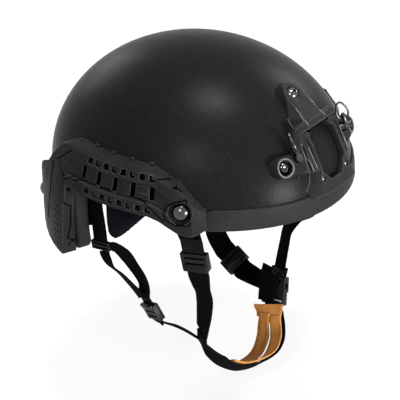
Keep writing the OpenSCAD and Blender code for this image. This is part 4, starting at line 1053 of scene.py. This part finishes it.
# Pads: stuffed cloth covers swollen by pressure, with their backs held against the shell
def soften(corners, r):
    """An outline with its corners rounded."""
    line = []
    for i, q in enumerate(corners):
        before, after = corners[i - 1] - q, corners[(i + 1) % len(corners)] - q
        a, b = (q + side.normalized() * min(r, side.length / 2.1) for side in (before, after))
        line += [a * (1 - t) ** 2 + q * 2 * t * (1 - t) + b * t * t for t in (0, 1 / 3, 2 / 3, 1)]
    return line


def box_corners(w, h, z):
    return [(-w / 2, z - h / 2), (w / 2, z - h / 2), (w / 2, z + h / 2), (-w / 2, z + h / 2)]


# Node, plan angle, outline and corner radius
SIDE = [(-33, 8), (22, -42), (28, -38), (28, 47), (-33, 47)]
TEMPLE, NECK = box_corners(46, 46, 48), box_corners(52, 54, -15)
WALL_PADS = [
    ("front_pad", 0, box_corners(96, 44, 42), 14), ("rear_pad", 180, box_corners(96, 56, 0), 14),
    ("side_pad_right", 90, SIDE, 9), ("side_pad_left", -90, [(-x, z) for x, z in reversed(SIDE)], 9),
    ("temple_pad_right", 50, TEMPLE, 14), ("temple_pad_left", -50, TEMPLE, 14),
    ("nape_pad_right", 124.5, NECK, 8), ("nape_pad_left", -124.5, NECK, 8)
]
PAD_T, PAD_BACK = 19, WALL + 4.15
SHRINK, MESH_SIZE, SWELL = 0.0012, 0.0048, 0.0045
PRESSURE, STIFFNESS, SIM_FRAMES = 4, 18, 20
REAR_SHIFT = 1.5


def evaluated_mesh(cover):
    return bpy.data.meshes.new_from_object(cover.evaluated_get(bpy.context.evaluated_depsgraph_get()))


def cover_object(node):
    """The pad's cover a little smaller than its space, in an even mesh, with its back pinned."""
    bm = node_copy(node)
    bmesh.ops.recalc_face_normals(bm, faces=bm.faces)
    bm.normal_update()
    for vert in bm.verts:
        vert.co -= vert.normal * SHRINK
        if node.startswith("side_pad"):
            # The lower rear edge of a side pad leans back a little, as it does in the photograph
            side = -1 if vert.co.x < 0 else 1
            plan = degrees(atan2(abs(vert.co.x) / HALF_W, -vert.co.y / HALF_L))
            rearward = ramp(plan, 96, 102) * (1 - ramp(vert.co.z, -0.004, 0.006))
            vert.co = Matrix.Rotation(radians(REAR_SHIFT * rearward * side), 3, "Z") @ vert.co
    cover = object_from(node + "_cover", bm)
    even = cover.modifiers.new("even_mesh", "REMESH")
    even.mode = "VOXEL"
    even.voxel_size = MESH_SIZE
    cover.data = evaluated_mesh(cover)
    cover.modifiers.clear()
    pinned = cover.vertex_groups.new(name="back")
    for vert in cover.data.vertices:
        away = Vector((vert.co.x, vert.co.y, max(0, vert.co.z))).normalized()
        if vert.normal.dot(away) > 0.3:
            pinned.add([vert.index], 1.0, "REPLACE")
    return cover


def stuff_covers(covers):
    """Swell every cover at once, and limit how far each point may move."""
    rest = {}
    for cover in covers:
        rest[cover.name] = [v.co.copy() for v in cover.data.vertices]
        cloth = cover.modifiers.new("stuffing", "CLOTH")
        settings = cloth.settings
        settings.quality = 5
        settings.use_pressure = True
        settings.uniform_pressure_force = PRESSURE
        settings.effector_weights.gravity = 0
        settings.vertex_group_mass = "back"
        settings.tension_stiffness = settings.compression_stiffness = STIFFNESS
        cloth.point_cache.frame_start = 1
        cloth.point_cache.frame_end = SIM_FRAMES
    for frame_number in range(1, SIM_FRAMES + 1):
        scene.frame_set(frame_number)
    swollen = {cover.name: evaluated_mesh(cover) for cover in covers}
    for cover in covers:
        for vert, start in zip(swollen[cover.name].vertices, rest[cover.name]):
            move = vert.co - start
            vert.co = start + move * min(1, SWELL / max(1e-9, move.length))
        cover.modifiers.clear()
        cover.data = swollen[cover.name]
    scene.frame_set(1)


covers = {node: cover_object(node) for node in ["crown_pad"] + [pad[0] for pad in WALL_PADS]}
stuff_covers(list(covers.values()))
cushions = {}
for node, cover in covers.items():
    smooth = cover.modifiers.new("soft_cover", "SUBSURF")
    smooth.levels = smooth.render_levels = 1
    bm = bmesh.new()
    bm.from_mesh(evaluated_mesh(cover))
    bpy.data.objects.remove(cover)
    cushions[node] = BVHTree.FromBMesh(bm)
    cushion = finish_piece(node.replace("_pad", "_cushion"), bm, PAD_CLOTH, [node], 80)

# Piping along the seam that joins each pad's face to its border
SEAM_DEPTH = PAD_BACK + PAD_T * 0.8
DENSE = 2.5
seams = {}
for node, a0, corners, r in WALL_PADS:
    outline = soften([Vector(c) for c in corners], r)
    mid = Vector([(max(p[k] for p in outline) + min(p[k] for p in outline)) / 2 for k in (0, 1)])
    dense = []
    for p, q in zip(outline, outline[1:] + outline[:1]):
        count = max(1, round((q - p).length / DENSE))
        dense += [mix(p, q, k / count) for k in range(count)]
    ring = [mid + (p - mid) * 0.97 for p in dense]
    seams[node] = [skin(a0 + p.x / MM_PER_DEG, p.y, -SEAM_DEPTH) for p in ring]
seams["crown_pad"] = [under_crown(50.5 * cos(t), 50.5 * sin(t), SEAM_DEPTH) for t in map(radians, range(0, 360, 4))]
for node, places in seams.items():
    line = []
    for p in places:
        near, normal, _, _ = cushions[node].find_nearest(p / 1000)
        line.append(near * 1000 + normal * 0.25)
    piping = rod_mesh(line, 0.75, (places[0] - Vector((0, 0, 20))).normalized(), closed=True, around=8)
    finish_piece(node.replace("_pad", "_seam"), piping, PAD_CLOTH, (), 80)


# Floor, light and backdrop
def show_backdrop(tree, lit, backdrop, share, output):
    """One shader for the light on the object, the other for rays from the camera, off a gloss or through glass."""
    path = add_node(tree, "LightPath").outputs
    seen = path["Is Camera Ray"]
    for kind in ("Is Glossy Ray", "Is Transmission Ray"):
        seen = calculate(tree, "MAXIMUM", seen, path[kind])
    seen = calculate(tree, "MULTIPLY", seen, share)
    blend = add_node(tree, "MixShader", {0: seen, 1: lit.outputs[0], 2: backdrop.outputs[0]})
    feed(tree, tree.nodes[output], {"Surface": blend.outputs[0]})


floor_finish, tree = new_material("pale_floor")
matt = feed(tree, tree.nodes["Principled BSDF"], {"Base Color": (0.9, 0.9, 0.9, 1), "Roughness": 0.9})
show_backdrop(tree, matt, add_node(tree, "Emission", {"Strength": 1}), 0.75, "Material Output")
# The chin strap hangs this much lower when the buckle is open, so the floor leaves it room
BUCKLE_TRAVEL = 0.017
floor_bm = bmesh.new()
bmesh.ops.create_grid(floor_bm, x_segments=2, y_segments=2, size=4)
bmesh.ops.translate(floor_bm, vec=(0, 0, cad_box[0][2] - BUCKLE_TRAVEL - 0.001), verts=floor_bm.verts)
studio_floor = object_from("studio_floor", floor_bm)
studio_floor.data.materials.append(floor_finish)

WHITE = (1, 1, 1, 1)
world = bpy.data.worlds.new("soft_studio")
scene.world = world
world.use_nodes = True
tree = world.node_tree
dim = feed(tree, tree.nodes["Background"], {"Color": WHITE, "Strength": 0.25})
show_backdrop(tree, dim, add_node(tree, "Background", {"Color": WHITE, "Strength": 1}), 1, "World Output")

# Softboxes: place, the height they aim at, size and power
SOFTBOXES = {
    "overhead": ((-0.05, -0.08, 1.4), 0.05, (0.42, 0.34), 24),
    "side": ((-1.08, -0.3, 0.85), 0.05, (0.3, 0.35), 9),
    "front": ((-0.15, -1.4, 0.02), 0.03, (0.4, 0.3), 36),
    "far": ((1.25, -0.25, 0.75), 0.03, (0.6, 0.6), 11),
    "rear": ((0.55, 1.35, 0.5), 0.0, (0.6, 0.6), 4)
}
for name, (at, aim_z, size, power) in SOFTBOXES.items():
    light = bpy.data.lights.new(name + "_softbox", "AREA")
    light.shape = "RECTANGLE"
    light.size, light.size_y = size
    light.energy = power
    lamp = bpy.data.objects.new(name + "_softbox", light)
    lamp.visible_camera = False
    place_and_aim(lamp, at, (0, 0, aim_z))
